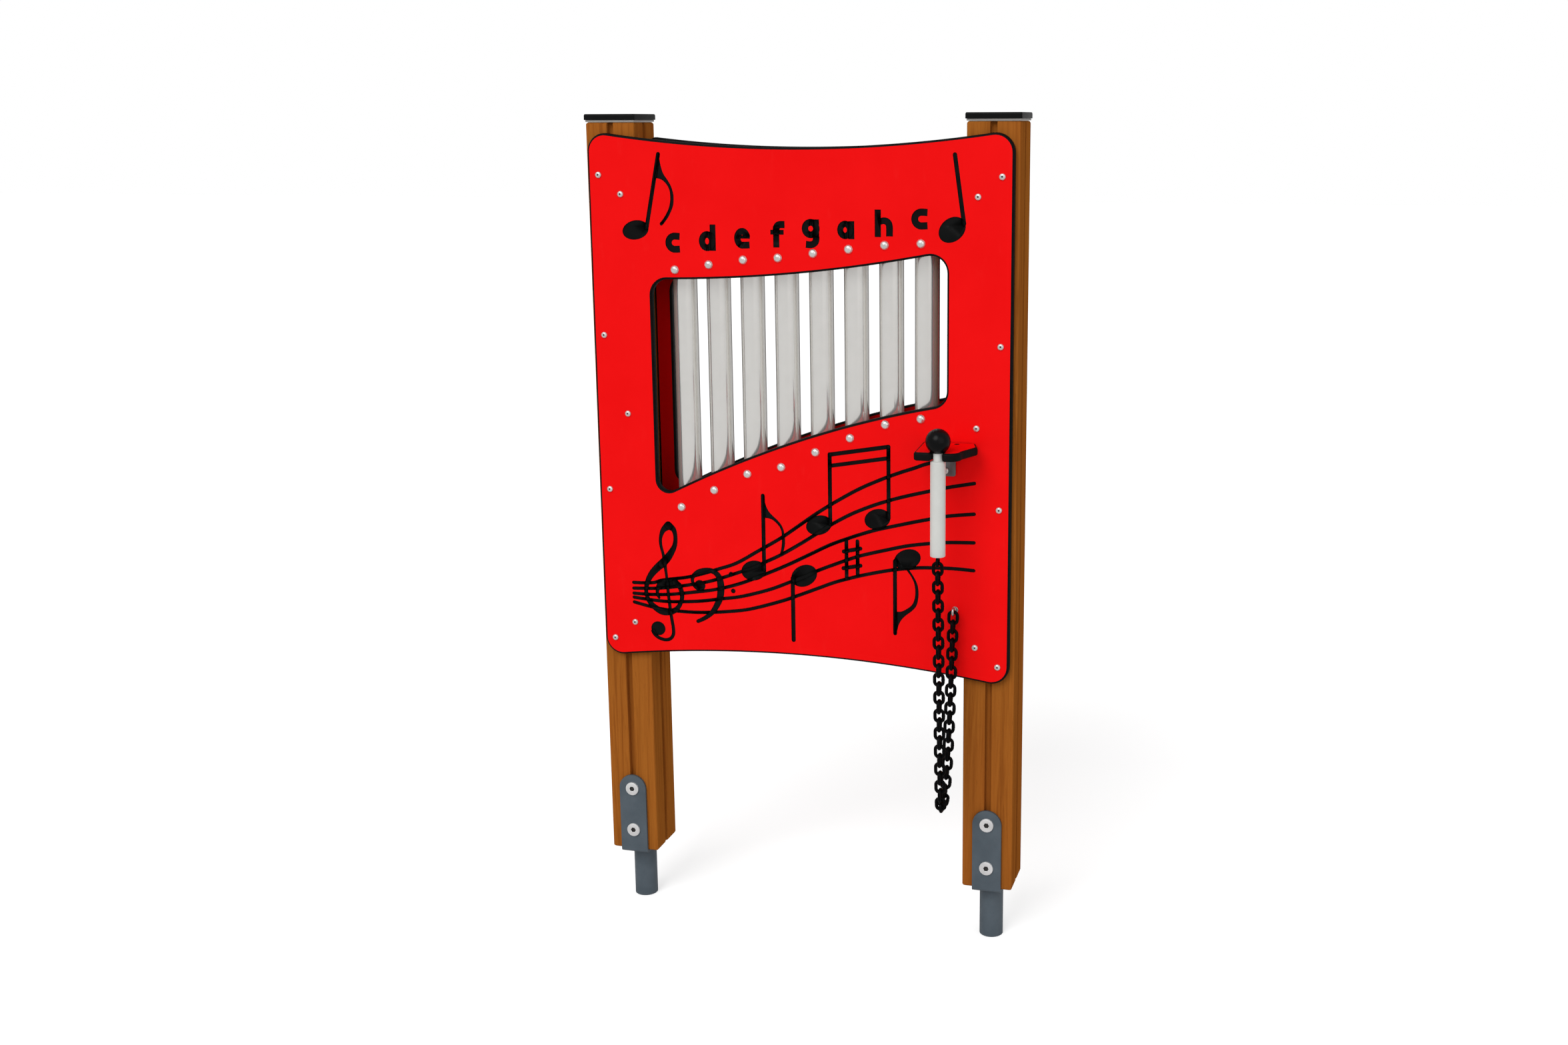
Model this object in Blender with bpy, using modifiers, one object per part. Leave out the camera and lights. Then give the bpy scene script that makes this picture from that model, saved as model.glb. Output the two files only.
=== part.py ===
"""Xylophone play panel: eight metal chimes between two sheet panels on timber posts.

Metres, Z up. The origin lies on the ground, midway between the two posts. X runs to
the right as the player sees the panel, and Y runs away from the player.
"""
import math

import bmesh
import bpy
from mathutils import Matrix, Vector

# Posts
POST_WIDTH = 0.095
POST_SPACING = 0.7147
POST_BOTTOM_Z = 0.112
POST_TOP_Z = 1.533
POST_CORNER_RADIUS = 0.0025
POST_END_CHAMFER = 0.002
POST_GROOVE_WIDTH = 0.012
POST_GROOVE_DEPTH = 0.011

# Post caps
CAP_WIDTH = 0.100
CAP_PLATE_HEIGHT = 0.0107
CAP_FOOT_WIDTH = 0.096
CAP_FOOT_HEIGHT = 0.0035
CAP_EDGE_ROUND = 0.0025

# Ground anchors: a strap round the foot of the post, welded on a tube
STRAP_WIDTH = 0.055
STRAP_THICKNESS = 0.005
STRAP_TOP_Z = 0.2695
STRAP_BEND_RADIUS = 0.006
ANCHOR_TUBE_RADIUS = 0.0225
ANCHOR_TUBE_WALL = 0.0035

# Through bolts of the anchors
ANCHOR_BOLT_SPACING = 0.0865
ANCHOR_BOLT_HEAD_RADIUS = 0.01325
ANCHOR_BOLT_HEAD_HEIGHT = 0.0035
ANCHOR_BOLT_SHANK_RADIUS = 0.005
ANCHOR_BOLT_SOCKET_RADIUS = 0.0045
ANCHOR_BOLT_SOCKET_DEPTH = 0.0025

# Sheet panels
SHEET_THICKNESS = 0.015
SHEET_EDGE_ROUND = 0.004
PANEL_SIDE_INSET = 0.00735
PANEL_CENTRE_Z = 1.018
PANEL_MID_HEIGHT = 0.940
PANEL_EDGE_SAG = 0.0300
PANEL_CORNER_RADIUS = 0.034
PANEL_GAP = 0.070
BACK_PANEL_SIDE_GAP = 0.001
BACK_PANEL_CORNER_RADIUS = 0.010

# The window between the two rows of chime bolts, a little narrower in the back panel
WINDOW_SIDE_RIM = 0.0311
BACK_WINDOW_NARROWING = 0.003
WINDOW_UNDER_FIRST_BOLT = 0.0158
WINDOW_UNDER_LAST_BOLT = 0.0112
WINDOW_TOP_SAG = 0.0145
WINDOW_OVER_FIRST_BOLT = 0.0094
WINDOW_OVER_LAST_BOLT = 0.0255
WINDOW_BOTTOM_RISE = 0.0240
WINDOW_CORNER_RADIUS = 0.030

# Screws that hold the front panel on the posts
SCREW_HEAD_RADIUS = 0.0058
SCREW_HEAD_HEIGHT = 0.0035
SCREW_SHANK_RADIUS = 0.003
SCREW_BITE = 0.030
SCREW_CROWN_RADIUS_SHARE = 0.75
SCREW_CROWN_HEIGHT_SHARE = 0.75
SCREW_OUTER_FROM_EDGE = 0.0211
SCREW_OUTER_ROWS_Z = (0.556, 0.850, 1.1442, 1.4385)
SCREW_INNER_FROM_EDGE = 0.0634
SCREW_INNER_ROWS_Z = (0.590, 0.997, 1.404)

# Chimes, tuned to a major scale
CHIME_RADIUS = 0.0225
CHIME_WALL = 0.003
CHIME_PITCH = 0.0663
CHIME_TOP_Z = 1.4491
LONGEST_CHIME = 0.8075
SCALE_SEMITONES = (0, 2, 4, 5, 7, 9, 11, 12)
SEMITONES_TO_HALVE_LENGTH = 23.4
NODE_POINT_SHARE = 0.2242

# Bolts that carry the chimes
CHIME_BOLT_HEAD_RADIUS = 0.0075
CHIME_BOLT_HEAD_HEIGHT = 0.005
CHIME_BOLT_SHANK_RADIUS = 0.004
CHIME_BOLT_SPACER_RADIUS = 0.008
CHIME_BOLT_CROWN_SHARE = 0.7

# Mallet shelf
SHELF_FROM_EDGE = 0.1116
SHELF_TOP_Z = 0.970
SHELF_DEPTH = 0.1075
SHELF_LEFT_REACH = 0.0414
SHELF_LEFT_BACK_REACH = 0.0484
SHELF_LEFT_RADIUS = 0.008
SHELF_RIGHT_REACH = 0.0411
SHELF_RIGHT_RADIUS = 0.022
SHELF_WAIST_FROM_PANEL = 0.080
SHELF_WAIST_RADIUS = 0.030
SHELF_TIP_REACH = 0.0581
SHELF_TIP_FROM_PANEL = 0.035
SHELF_TIP_RADIUS = 0.0055
SHELF_RIGHT_BACK_REACH = 0.0486
SHELF_BACK_RADIUS = 0.0045
SHELF_SLOT_WIDTH = 0.020
SHELF_SLOT_MOUTH_RADIUS = 0.001
SHELF_SCREW_SPACING = 0.0322
SHELF_SCREW_FROM_PANEL = 0.0145
SHELF_SCREW_HEAD_RADIUS = 0.0045
SHELF_SCREW_HEAD_HEIGHT = 0.002
SHELF_SCREW_SINK = 0.0035
SHELF_SCREW_SHANK_RADIUS = 0.002

# Steel bracket under the shelf
BRACKET_THICKNESS = 0.003
BRACKET_LEG_OFFSET = 0.0077
BRACKET_LEG_WIDTH = 0.038
BRACKET_LEG_HEIGHT = 0.046
BRACKET_FOOT_WIDTH = 0.054
BRACKET_FOOT_DEPTH = 0.045
BRACKET_CORNER_RADIUS = 0.004
BRACKET_SCREW_DROP = 0.036
BRACKET_SCREW_HEAD_RADIUS = 0.0065

# Mallet
MALLET_FROM_PANEL = 0.0927
BALL_RADIUS = 0.0223
NECK_RADIUS = 0.0085
NECK_SOCKET_DEPTH = 0.012
GRIP_RADIUS = 0.0135
GRIP_LENGTH = 0.1715
GRIP_EDGE_ROUND = 0.0015
GRIP_SHOULDER_GAP = 0.001

# Eyes that hold the two ends of the chain
EYE_WIRE_RADIUS = 0.00225
EYE_STEM_SINK = 0.0006
MALLET_EYE_RADIUS = 0.0078
MALLET_EYE_DROP = 0.010
WALL_EYE_OFFSET = 0.0111
WALL_EYE_Z = 0.660
WALL_EYE_RADIUS = 0.006
WALL_EYE_FROM_PANEL = 0.0155
WALL_EYE_SHANK_RADIUS = 0.003
WALL_EYE_COLLAR_RADIUS = 0.006
WALL_EYE_COLLAR_HEIGHT = 0.002
WALL_EYE_NUT_HEIGHT = 0.004

# Chain
CHAIN_WIRE_RADIUS = 0.0029
CHAIN_LINK_WIDTH = 0.0213
CHAIN_LINK_PITCH = 0.0170
CHAIN_LINK_CROWN_SHARE = 0.45
CHAIN_LOW_Y = -0.131
CHAIN_LOW_Z = 0.308
CHAIN_LINK_FUSE = 0.0014
CHAIN_OPEN_SHIFT = 0.0034
CHAIN_OPEN_LIFT = 0.0016

# Clearances, cuts and facets
SEAT_GAP = 0.0003
HOLE_CLEARANCE = 0.0003
EYE_CLEARANCE = 0.0004
CUT_OVERRUN = 0.004
CORNER_REACH_SHARE = 1.02
WELD_DISTANCE = 0.00001
ROUND_STEPS = 16
BOLT_STEPS = 8
ANCHOR_BOLT_STEPS = 12
HEAD_STEPS = 12
BALL_STEPS = 16
EYE_RING_STEPS = 16
SHELF_EDGE_STEPS = 1
PANEL_EDGE_STEPS = 0
WIRE_BEVEL_RESOLUTION = 1
BISECTION_ROUNDS = 60
BISECTION_RANGE = (0.05, 50.0)
SHARP_ANGLE = math.radians(35)
ROUND_PROFILE_SHARE = 0.5

# What follows from the sizes above
POST_X = POST_SPACING / 2
PANEL_WIDTH = POST_SPACING + POST_WIDTH - 2 * PANEL_SIDE_INSET
BACK_PANEL_WIDTH = POST_SPACING - POST_WIDTH - 2 * BACK_PANEL_SIDE_GAP
WINDOW_WIDTH = BACK_PANEL_WIDTH - 2 * WINDOW_SIDE_RIM
SCREW_OUTER_X = PANEL_WIDTH / 2 - SCREW_OUTER_FROM_EDGE
SCREW_INNER_X = PANEL_WIDTH / 2 - SCREW_INNER_FROM_EDGE
SHELF_X = PANEL_WIDTH / 2 - SHELF_FROM_EDGE
WALL_EYE_X = SHELF_X + WALL_EYE_OFFSET
POST_FRONT_Y = -POST_WIDTH / 2
PANEL_FACE_Y = POST_FRONT_Y - SHEET_THICKNESS
FRONT_PANEL_Y = POST_FRONT_Y - SHEET_THICKNESS / 2
CHIME_Y = POST_FRONT_Y + PANEL_GAP / 2
BACK_PANEL_FRONT_Y = POST_FRONT_Y + PANEL_GAP
BACK_PANEL_Y = BACK_PANEL_FRONT_Y + SHEET_THICKNESS / 2
BACK_PANEL_REAR_Y = BACK_PANEL_FRONT_Y + SHEET_THICKNESS
STRAP_BOTTOM_Z = POST_BOTTOM_Z - SEAT_GAP - STRAP_THICKNESS
MALLET_Y = PANEL_FACE_Y - MALLET_FROM_PANEL
FACING_PLAYER = (math.pi / 2, 0, 0)

PART_COLLECTION = "xylophone_play_panel"
CUTTER_COLLECTION = "cutters"


# Scene helpers

def start_scene():
    """Remove what the scene holds and make the two collections."""
    for old in list(bpy.data.objects):
        bpy.data.objects.remove(old, do_unlink=True)
    for name in (PART_COLLECTION, CUTTER_COLLECTION):
        collection = bpy.data.collections.get(name) or bpy.data.collections.new(name)
        if collection.name not in bpy.context.scene.collection.children:
            bpy.context.scene.collection.children.link(collection)


def material(name, colour, roughness, metallic=0.0):
    """A plain Principled material, made once for each name."""
    found = bpy.data.materials.get(name)
    if found:
        return found
    made = bpy.data.materials.new(name)
    made.use_nodes = True
    shader = made.node_tree.nodes["Principled BSDF"]
    shader.inputs["Base Color"].default_value = (*colour, 1.0)
    shader.inputs["Roughness"].default_value = roughness
    shader.inputs["Metallic"].default_value = metallic
    return made


def add_part(name, mesh, finish, location=(0, 0, 0), rotation=(0, 0, 0)):
    """Put a sub-part in the part's collection, shaded smooth up to its sharp edges."""
    part = bpy.data.objects.new(name, mesh)
    part.location = location
    part.rotation_euler = rotation
    if not mesh.materials:
        mesh.materials.append(finish)
    mesh.shade_smooth()
    mesh.set_sharp_from_angle(angle=SHARP_ANGLE)
    bpy.data.collections[PART_COLLECTION].objects.link(part)
    return part


def add_cutter(name, mesh, location=(0, 0, 0), rotation=(0, 0, 0)):
    """Put a helper shape in the cutters' collection, out of the render."""
    cutter = bpy.data.objects.new(name, mesh)
    cutter.location = location
    cutter.rotation_euler = rotation
    cutter.hide_render = True
    cutter.display_type = "WIRE"
    bpy.data.collections[CUTTER_COLLECTION].objects.link(cutter)
    return cutter


def combine(part, other, operation):
    """Cut, join or trim a part with another object, exactly."""
    step = part.modifiers.new(f"{operation.lower()}_{other.name}", "BOOLEAN")
    step.operation = operation
    step.object = other
    step.solver = "EXACT"
    return step


def adopt(child, parent):
    """Parent an object without moving it."""
    bpy.context.view_layer.update()
    child.parent = parent
    child.matrix_parent_inverse = parent.matrix_world.inverted()


def add_axis(name, location):
    """An empty on a joint's axis."""
    axis = bpy.data.objects.new(name, None)
    axis.location = location
    bpy.data.collections[PART_COLLECTION].objects.link(axis)
    return axis


# Mesh helpers

def mesh_from(name, shape):
    mesh = bpy.data.meshes.new(name)
    shape.to_mesh(mesh)
    shape.free()
    return mesh


def add_box(shape, centre, size):
    placed = Matrix.Translation(centre) @ Matrix.Diagonal((*size, 1))
    bmesh.ops.create_cube(shape, size=1, matrix=placed)


def box_mesh(name, centre, size):
    shape = bmesh.new()
    add_box(shape, centre, size)
    return mesh_from(name, shape)


def add_rod(shape, centre, radius, length, steps, axis="Y"):
    """A closed cylinder along one of the world's axes."""
    turn = {
        "X": Matrix.Rotation(math.pi / 2, 4, "Y"),
        "Y": Matrix.Rotation(math.pi / 2, 4, "X"),
        "Z": Matrix.Identity(4),
    }[axis]
    placed = Matrix.Translation(centre) @ turn
    bmesh.ops.create_cone(shape, cap_ends=True, segments=steps, radius1=radius,
                          radius2=radius, depth=length, matrix=placed)


def rods_mesh(name, centres, radius, length, steps, axis="Y"):
    shape = bmesh.new()
    for centre in centres:
        add_rod(shape, centre, radius, length, steps, axis)
    return mesh_from(name, shape)


def curve_to_mesh(curve_object):
    """Make a mesh of a curve, weld its caps and remove the curve."""
    bpy.context.view_layer.update()
    placed = curve_object.matrix_world.copy()
    evaluated = curve_object.evaluated_get(bpy.context.evaluated_depsgraph_get())
    mesh = bpy.data.meshes.new_from_object(evaluated)
    name = curve_object.name
    bpy.data.objects.remove(curve_object, do_unlink=True)
    shape = bmesh.new()
    shape.from_mesh(mesh)
    bmesh.ops.remove_doubles(shape, verts=shape.verts, dist=WELD_DISTANCE)
    bmesh.ops.recalc_face_normals(shape, faces=shape.faces)
    shape.to_mesh(mesh)
    shape.free()
    mesh.name = name
    mesh.transform(placed)
    return mesh


def plate_mesh(name, outlines, thickness, edge_round=0.0, edge_steps=0):
    """A flat sheet in the XY plane, centred on it; further outlines are openings.

    The outlines are drawn round the flat face. The rounded edge grows from them.
    """
    curve = bpy.data.curves.new(name, "CURVE")
    curve.dimensions = "2D"
    curve.fill_mode = "BOTH"
    curve.extrude = thickness / 2 - edge_round
    curve.bevel_depth = edge_round
    curve.bevel_resolution = edge_steps
    for outline in outlines:
        spline = curve.splines.new("POLY")
        spline.points.add(len(outline) - 1)
        spline.use_cyclic_u = True
        for point, (across, up) in zip(spline.points, outline):
            point.co = (across, up, 0, 1)
    holder = bpy.data.objects.new(name, curve)
    bpy.context.scene.collection.objects.link(holder)
    return curve_to_mesh(holder)


def wire_mesh(name, points, radius, cyclic=False):
    """A round wire along a path, closed or with filled ends."""
    curve = bpy.data.curves.new(name, "CURVE")
    curve.dimensions = "3D"
    curve.bevel_depth = radius
    curve.bevel_resolution = WIRE_BEVEL_RESOLUTION
    curve.use_fill_caps = True
    spline = curve.splines.new("POLY")
    spline.points.add(len(points) - 1)
    spline.use_cyclic_u = cyclic
    for point, place in zip(spline.points, points):
        point.co = (*place, 1)
    holder = bpy.data.objects.new(name, curve)
    bpy.context.scene.collection.objects.link(holder)
    return curve_to_mesh(holder)


def profile_mesh(name, profile, closed=False):
    """The half section of a turned shape, as (radius, height) from top to bottom."""
    mesh = bpy.data.meshes.new(name)
    count = len(profile)
    edges = [(index, index + 1) for index in range(count - 1)]
    if closed:
        edges.append((count - 1, 0))
    mesh.from_pydata([(radius, 0, height) for radius, height in profile], edges, [])
    return mesh


def turn_about_z(part, steps):
    """Turn a profile into a solid with a Screw modifier."""
    screw = part.modifiers.new("turned", "SCREW")
    screw.steps = steps
    screw.render_steps = steps
    screw.use_merge_vertices = True
    screw.merge_threshold = WELD_DISTANCE
    screw.use_smooth_shade = True
    return screw


# Outline helpers

def corner_arc(before, corner, after, radius, steps):
    """Round one corner of an outline with an arc, or keep it sharp."""
    if not radius:
        return [corner]
    corner = Vector(corner)
    to_before = (Vector(before) - corner).normalized()
    to_after = (Vector(after) - corner).normalized()
    half_angle = to_before.angle(to_after) / 2
    centre = corner + (to_before + to_after).normalized() * (radius / math.sin(half_angle))
    start = corner + to_before * (radius / math.tan(half_angle)) - centre
    end = corner + to_after * (radius / math.tan(half_angle)) - centre
    sweep = start.angle_signed(end)
    return [tuple(centre + Matrix.Rotation(-sweep * step / steps, 2) @ start)
            for step in range(steps + 1)]


def bowed_side(start, end, bow, steps):
    """Points between two corners on a curve that bows up by the given height."""
    points = []
    for step in range(1, steps):
        share = step / steps
        across = start[0] + (end[0] - start[0]) * share
        up = start[1] + (end[1] - start[1]) * share
        points.append((across, up + bow * 4 * share * (1 - share)))
    return points


def rounded_outline(corners, bows, radii, side_steps=8, arc_steps=4):
    """A closed outline with bowed sides and rounded corners.

    Side number i runs from corner i to the next one, and bows[i] is how far its
    middle is raised. A bowed side keeps only its points clear of the two arcs.
    """
    count = len(corners)
    sides = []
    for i in range(count):
        next_corner = corners[(i + 1) % count]
        sides.append(bowed_side(corners[i], next_corner, bows[i], side_steps) if bows[i] else [])
    outline = []
    for i in range(count):
        before_side, after_side = sides[i - 1], sides[i]
        reach = radii[i] * CORNER_REACH_SHARE
        before = before_side[-1] if before_side else corners[i - 1]
        after = after_side[0] if after_side else corners[(i + 1) % count]
        outline += corner_arc(before, corners[i], after, radii[i], arc_steps)
        next_corner = corners[(i + 1) % count]
        next_reach = radii[(i + 1) % count] * CORNER_REACH_SHARE
        outline += [point for point in after_side
                    if math.dist(point, corners[i]) > reach
                    and math.dist(point, next_corner) > next_reach]
    return outline


# Sheet outlines, drawn round the flat face

def panel_outline(half_width, corner_radius):
    """A tall sheet whose top and bottom edges bow towards its middle.

    The curve of the edges is the same for both panels, so a narrower sheet is
    lower at its corners.
    """
    half_width -= SHEET_EDGE_ROUND
    full_half_width = PANEL_WIDTH / 2 - SHEET_EDGE_ROUND
    sag = PANEL_EDGE_SAG * (half_width / full_half_width) ** 2
    half_height = PANEL_MID_HEIGHT / 2 - SHEET_EDGE_ROUND + sag
    top = PANEL_CENTRE_Z + half_height
    bottom = PANEL_CENTRE_Z - half_height
    corners = [(-half_width, bottom), (half_width, bottom), (half_width, top), (-half_width, top)]
    radii = [corner_radius - SHEET_EDGE_ROUND] * 4
    return rounded_outline(corners, [sag, 0, -sag, 0], radii)


def window_outline(narrowing=0):
    """The opening in front of the chimes, from its lower left corner round."""
    half_width = WINDOW_WIDTH / 2 + SHEET_EDGE_ROUND - narrowing
    rows = chime_rows()
    first, last = rows[0], rows[-1]
    corners = [(-half_width, first["lower_z"] + WINDOW_OVER_FIRST_BOLT),
               (half_width, last["lower_z"] + WINDOW_OVER_LAST_BOLT),
               (half_width, last["upper_z"] - WINDOW_UNDER_LAST_BOLT),
               (-half_width, first["upper_z"] - WINDOW_UNDER_FIRST_BOLT)]
    radii = [WINDOW_CORNER_RADIUS + SHEET_EDGE_ROUND] * 4
    return rounded_outline(corners, [WINDOW_BOTTOM_RISE, 0, -WINDOW_TOP_SAG, 0], radii)


# Chime places

def chime_length(semitones):
    """A free bar's pitch rises with the square of how short it is."""
    return LONGEST_CHIME * 2 ** (-semitones / SEMITONES_TO_HALVE_LENGTH)


def chime_rows():
    """For each chime: its place across, its length and the heights of its two bolts."""
    rows = []
    middle = (len(SCALE_SEMITONES) - 1) / 2
    for index, semitones in enumerate(SCALE_SEMITONES):
        length = chime_length(semitones)
        inset = length * NODE_POINT_SHARE
        rows.append({
            "x": (index - middle) * CHIME_PITCH,
            "length": length,
            "upper_z": CHIME_TOP_Z - inset,
            "lower_z": CHIME_TOP_Z - length + inset,
        })
    return rows


def chime_bolt_places():
    return [(row["x"], z) for row in chime_rows() for z in (row["upper_z"], row["lower_z"])]


def screw_places():
    """Where the front panel is screwed to the posts."""
    places = []
    for side in (-1, 1):
        places += [(side * SCREW_OUTER_X, z) for z in SCREW_OUTER_ROWS_Z]
        places += [(side * SCREW_INNER_X, z) for z in SCREW_INNER_ROWS_Z]
    return places


def anchor_bolt_heights():
    """The upper bolt sits at the centre of the strap's round end."""
    upper = STRAP_TOP_Z - STRAP_WIDTH / 2
    return (upper, upper - ANCHOR_BOLT_SPACING)


# Posts and caps

def build_posts():
    wood = material("glued_timber", (0.36, 0.15, 0.045), 0.55)
    height = POST_TOP_Z - POST_BOTTOM_Z
    shape = bmesh.new()
    add_box(shape, (0, 0, height / 2), (POST_WIDTH, POST_WIDTH, height))
    upright = [edge for edge in shape.edges
               if abs(edge.verts[0].co.z - edge.verts[1].co.z) > height / 2]
    bmesh.ops.bevel(shape, geom=upright, offset=POST_CORNER_RADIUS, segments=2,
                    affect="EDGES", profile=ROUND_PROFILE_SHARE)
    rims = [edge for edge in shape.edges
            if abs(edge.verts[0].co.z - edge.verts[1].co.z) < WELD_DISTANCE]
    bmesh.ops.bevel(shape, geom=rims, offset=POST_END_CHAMFER, segments=1, affect="EDGES")
    mesh = mesh_from("post", shape)

    grooves = bmesh.new()
    reach = POST_WIDTH / 2
    length = height + 2 * CUT_OVERRUN
    depth = POST_GROOVE_DEPTH + CUT_OVERRUN
    for turn in range(4):
        angle = turn * math.pi / 2
        middle = reach + CUT_OVERRUN - depth / 2
        placed = (Matrix.Rotation(angle, 4, "Z") @ Matrix.Translation((0, -middle, height / 2))
                  @ Matrix.Diagonal((POST_GROOVE_WIDTH, depth, length, 1)))
        bmesh.ops.create_cube(grooves, size=1, matrix=placed)
    groove_mesh = mesh_from("post_grooves", grooves)

    for name, side in (("post_left", -1), ("post_right", 1)):
        post = add_part(name, mesh, wood, (side * POST_X, 0, POST_BOTTOM_Z))
        cutter = add_cutter(f"{name}_groove_cutter", groove_mesh, post.location)
        combine(post, cutter, "DIFFERENCE")
        cut_post_holes(post, side)


def cut_post_holes(post, side):
    """Pilot holes for the panel's screws, and the anchor bolts' holes right through."""
    shape = bmesh.new()
    depth = SCREW_BITE + SEAT_GAP
    middle = POST_FRONT_Y + (depth - CUT_OVERRUN) / 2
    for x, z in screw_places():
        if x * side > 0:
            add_rod(shape, (x, middle, z), SCREW_SHANK_RADIUS + HOLE_CLEARANCE,
                    depth + CUT_OVERRUN, BOLT_STEPS)
    for z in anchor_bolt_heights():
        add_rod(shape, (side * POST_X, 0, z), ANCHOR_BOLT_SHANK_RADIUS + HOLE_CLEARANCE,
                POST_WIDTH + 2 * CUT_OVERRUN, ANCHOR_BOLT_STEPS)
    name = f"{post.name}_hole_cutter"
    combine(post, add_cutter(name, mesh_from(name, shape)), "DIFFERENCE")


def build_caps():
    black = material("black_cap_plastic", (0.012, 0.012, 0.013), 0.35)
    shape = bmesh.new()
    add_box(shape, (0, 0, CAP_FOOT_HEIGHT + CAP_PLATE_HEIGHT / 2),
            (CAP_WIDTH, CAP_WIDTH, CAP_PLATE_HEIGHT))
    top = CAP_FOOT_HEIGHT + CAP_PLATE_HEIGHT
    upper = [edge for edge in shape.edges
             if max(vert.co.z for vert in edge.verts) > top - CAP_PLATE_HEIGHT / 2]
    bmesh.ops.bevel(shape, geom=upper, offset=CAP_EDGE_ROUND, segments=2, affect="EDGES",
                    profile=ROUND_PROFILE_SHARE)
    mesh = mesh_from("post_cap", shape)
    foot = box_mesh("cap_foot", (0, 0, (CAP_FOOT_HEIGHT + CAP_EDGE_ROUND) / 2),
                    (CAP_FOOT_WIDTH, CAP_FOOT_WIDTH, CAP_FOOT_HEIGHT + CAP_EDGE_ROUND))
    for name, side in (("post_cap_left", -1), ("post_cap_right", 1)):
        cap = add_part(name, mesh, black, (side * POST_X, 0, POST_TOP_Z + SEAT_GAP))
        combine(cap, add_cutter(f"{name}_foot", foot, cap.location), "UNION")


# Ground anchors

def build_anchors():
    steel = material("blue_grey_steel", (0.09, 0.11, 0.13), 0.45, 0.3)
    outer = POST_WIDTH / 2 + SEAT_GAP + STRAP_THICKNESS
    inner = POST_WIDTH / 2 + SEAT_GAP
    top = STRAP_TOP_Z
    floor = STRAP_BOTTOM_Z + STRAP_THICKNESS
    bend = STRAP_BEND_RADIUS
    section = rounded_outline(
        [(-outer, STRAP_BOTTOM_Z), (outer, STRAP_BOTTOM_Z), (outer, top), (inner, top),
         (inner, floor), (-inner, floor), (-inner, top), (-outer, top)],
        [0] * 8, [bend, bend] + [0] * 6, arc_steps=2)
    strap = plate_mesh("anchor_strap", [section], STRAP_WIDTH)
    strap.transform(Matrix.Rotation(math.pi / 2, 4, "Z") @ Matrix.Rotation(math.pi / 2, 4, "X"))

    half = STRAP_WIDTH / 2
    face = [(-half, STRAP_BOTTOM_Z - CUT_OVERRUN), (half, STRAP_BOTTOM_Z - CUT_OVERRUN)]
    centre_z = STRAP_TOP_Z - half
    arc_steps = 10
    face += [(half * math.cos(math.pi * step / arc_steps),
              centre_z + half * math.sin(math.pi * step / arc_steps))
             for step in range(arc_steps + 1)]
    trim = plate_mesh("strap_trim", [face], 2 * (outer + CUT_OVERRUN))

    tube_length = STRAP_BOTTOM_Z + STRAP_THICKNESS / 2
    bore_radius = ANCHOR_TUBE_RADIUS - ANCHOR_TUBE_WALL
    for name, side in (("ground_anchor_left", -1), ("ground_anchor_right", 1)):
        x = side * POST_X
        anchor = add_part(name, strap, steel, (x, 0, 0))
        combine(anchor, add_cutter(f"{name}_trim", trim, (x, 0, 0), FACING_PLAYER), "INTERSECT")
        tube = rods_mesh(f"{name}_tube", [(x, 0, tube_length / 2)], ANCHOR_TUBE_RADIUS,
                         tube_length, ROUND_STEPS, "Z")
        combine(anchor, add_cutter(f"{name}_tube", tube), "UNION")
        bore = rods_mesh(f"{name}_bore", [(x, 0, (STRAP_BOTTOM_Z - CUT_OVERRUN) / 2)], bore_radius,
                         STRAP_BOTTOM_Z + CUT_OVERRUN, ROUND_STEPS, "Z")
        combine(anchor, add_cutter(f"{name}_bore", bore), "DIFFERENCE")
        holes = rods_mesh(f"{name}_holes", [(x, 0, z) for z in anchor_bolt_heights()],
                          ANCHOR_BOLT_SHANK_RADIUS + HOLE_CLEARANCE, 2 * (outer + CUT_OVERRUN),
                          ANCHOR_BOLT_STEPS)
        combine(anchor, add_cutter(f"{name}_holes", holes), "DIFFERENCE")


def build_anchor_bolts():
    """Flat heads front and back, turned about the bolt's own Z axis."""
    zinc = material("pale_zinc", (0.72, 0.72, 0.72), 0.35, 0.6)
    seat = POST_WIDTH / 2 + STRAP_THICKNESS + 2 * SEAT_GAP
    crown = seat + ANCHOR_BOLT_HEAD_HEIGHT
    profile = [
        (0, crown - ANCHOR_BOLT_SOCKET_DEPTH),
        (ANCHOR_BOLT_SOCKET_RADIUS, crown - ANCHOR_BOLT_SOCKET_DEPTH),
        (ANCHOR_BOLT_SOCKET_RADIUS, crown),
        (ANCHOR_BOLT_HEAD_RADIUS, crown),
        (ANCHOR_BOLT_HEAD_RADIUS, seat),
        (ANCHOR_BOLT_SHANK_RADIUS, seat),
        (ANCHOR_BOLT_SHANK_RADIUS, -seat),
        (ANCHOR_BOLT_HEAD_RADIUS, -seat),
        (ANCHOR_BOLT_HEAD_RADIUS, -crown),
        (0, -crown),
    ]
    mesh = profile_mesh("anchor_bolt", profile)
    for side_name, side in (("left", -1), ("right", 1)):
        for row_name, z in zip(("upper", "lower"), anchor_bolt_heights()):
            bolt = add_part(f"anchor_bolt_{side_name}_{row_name}", mesh, zinc,
                            (side * POST_X, 0, z), FACING_PLAYER)
            turn_about_z(bolt, ANCHOR_BOLT_STEPS)


# Sheet panels

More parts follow.
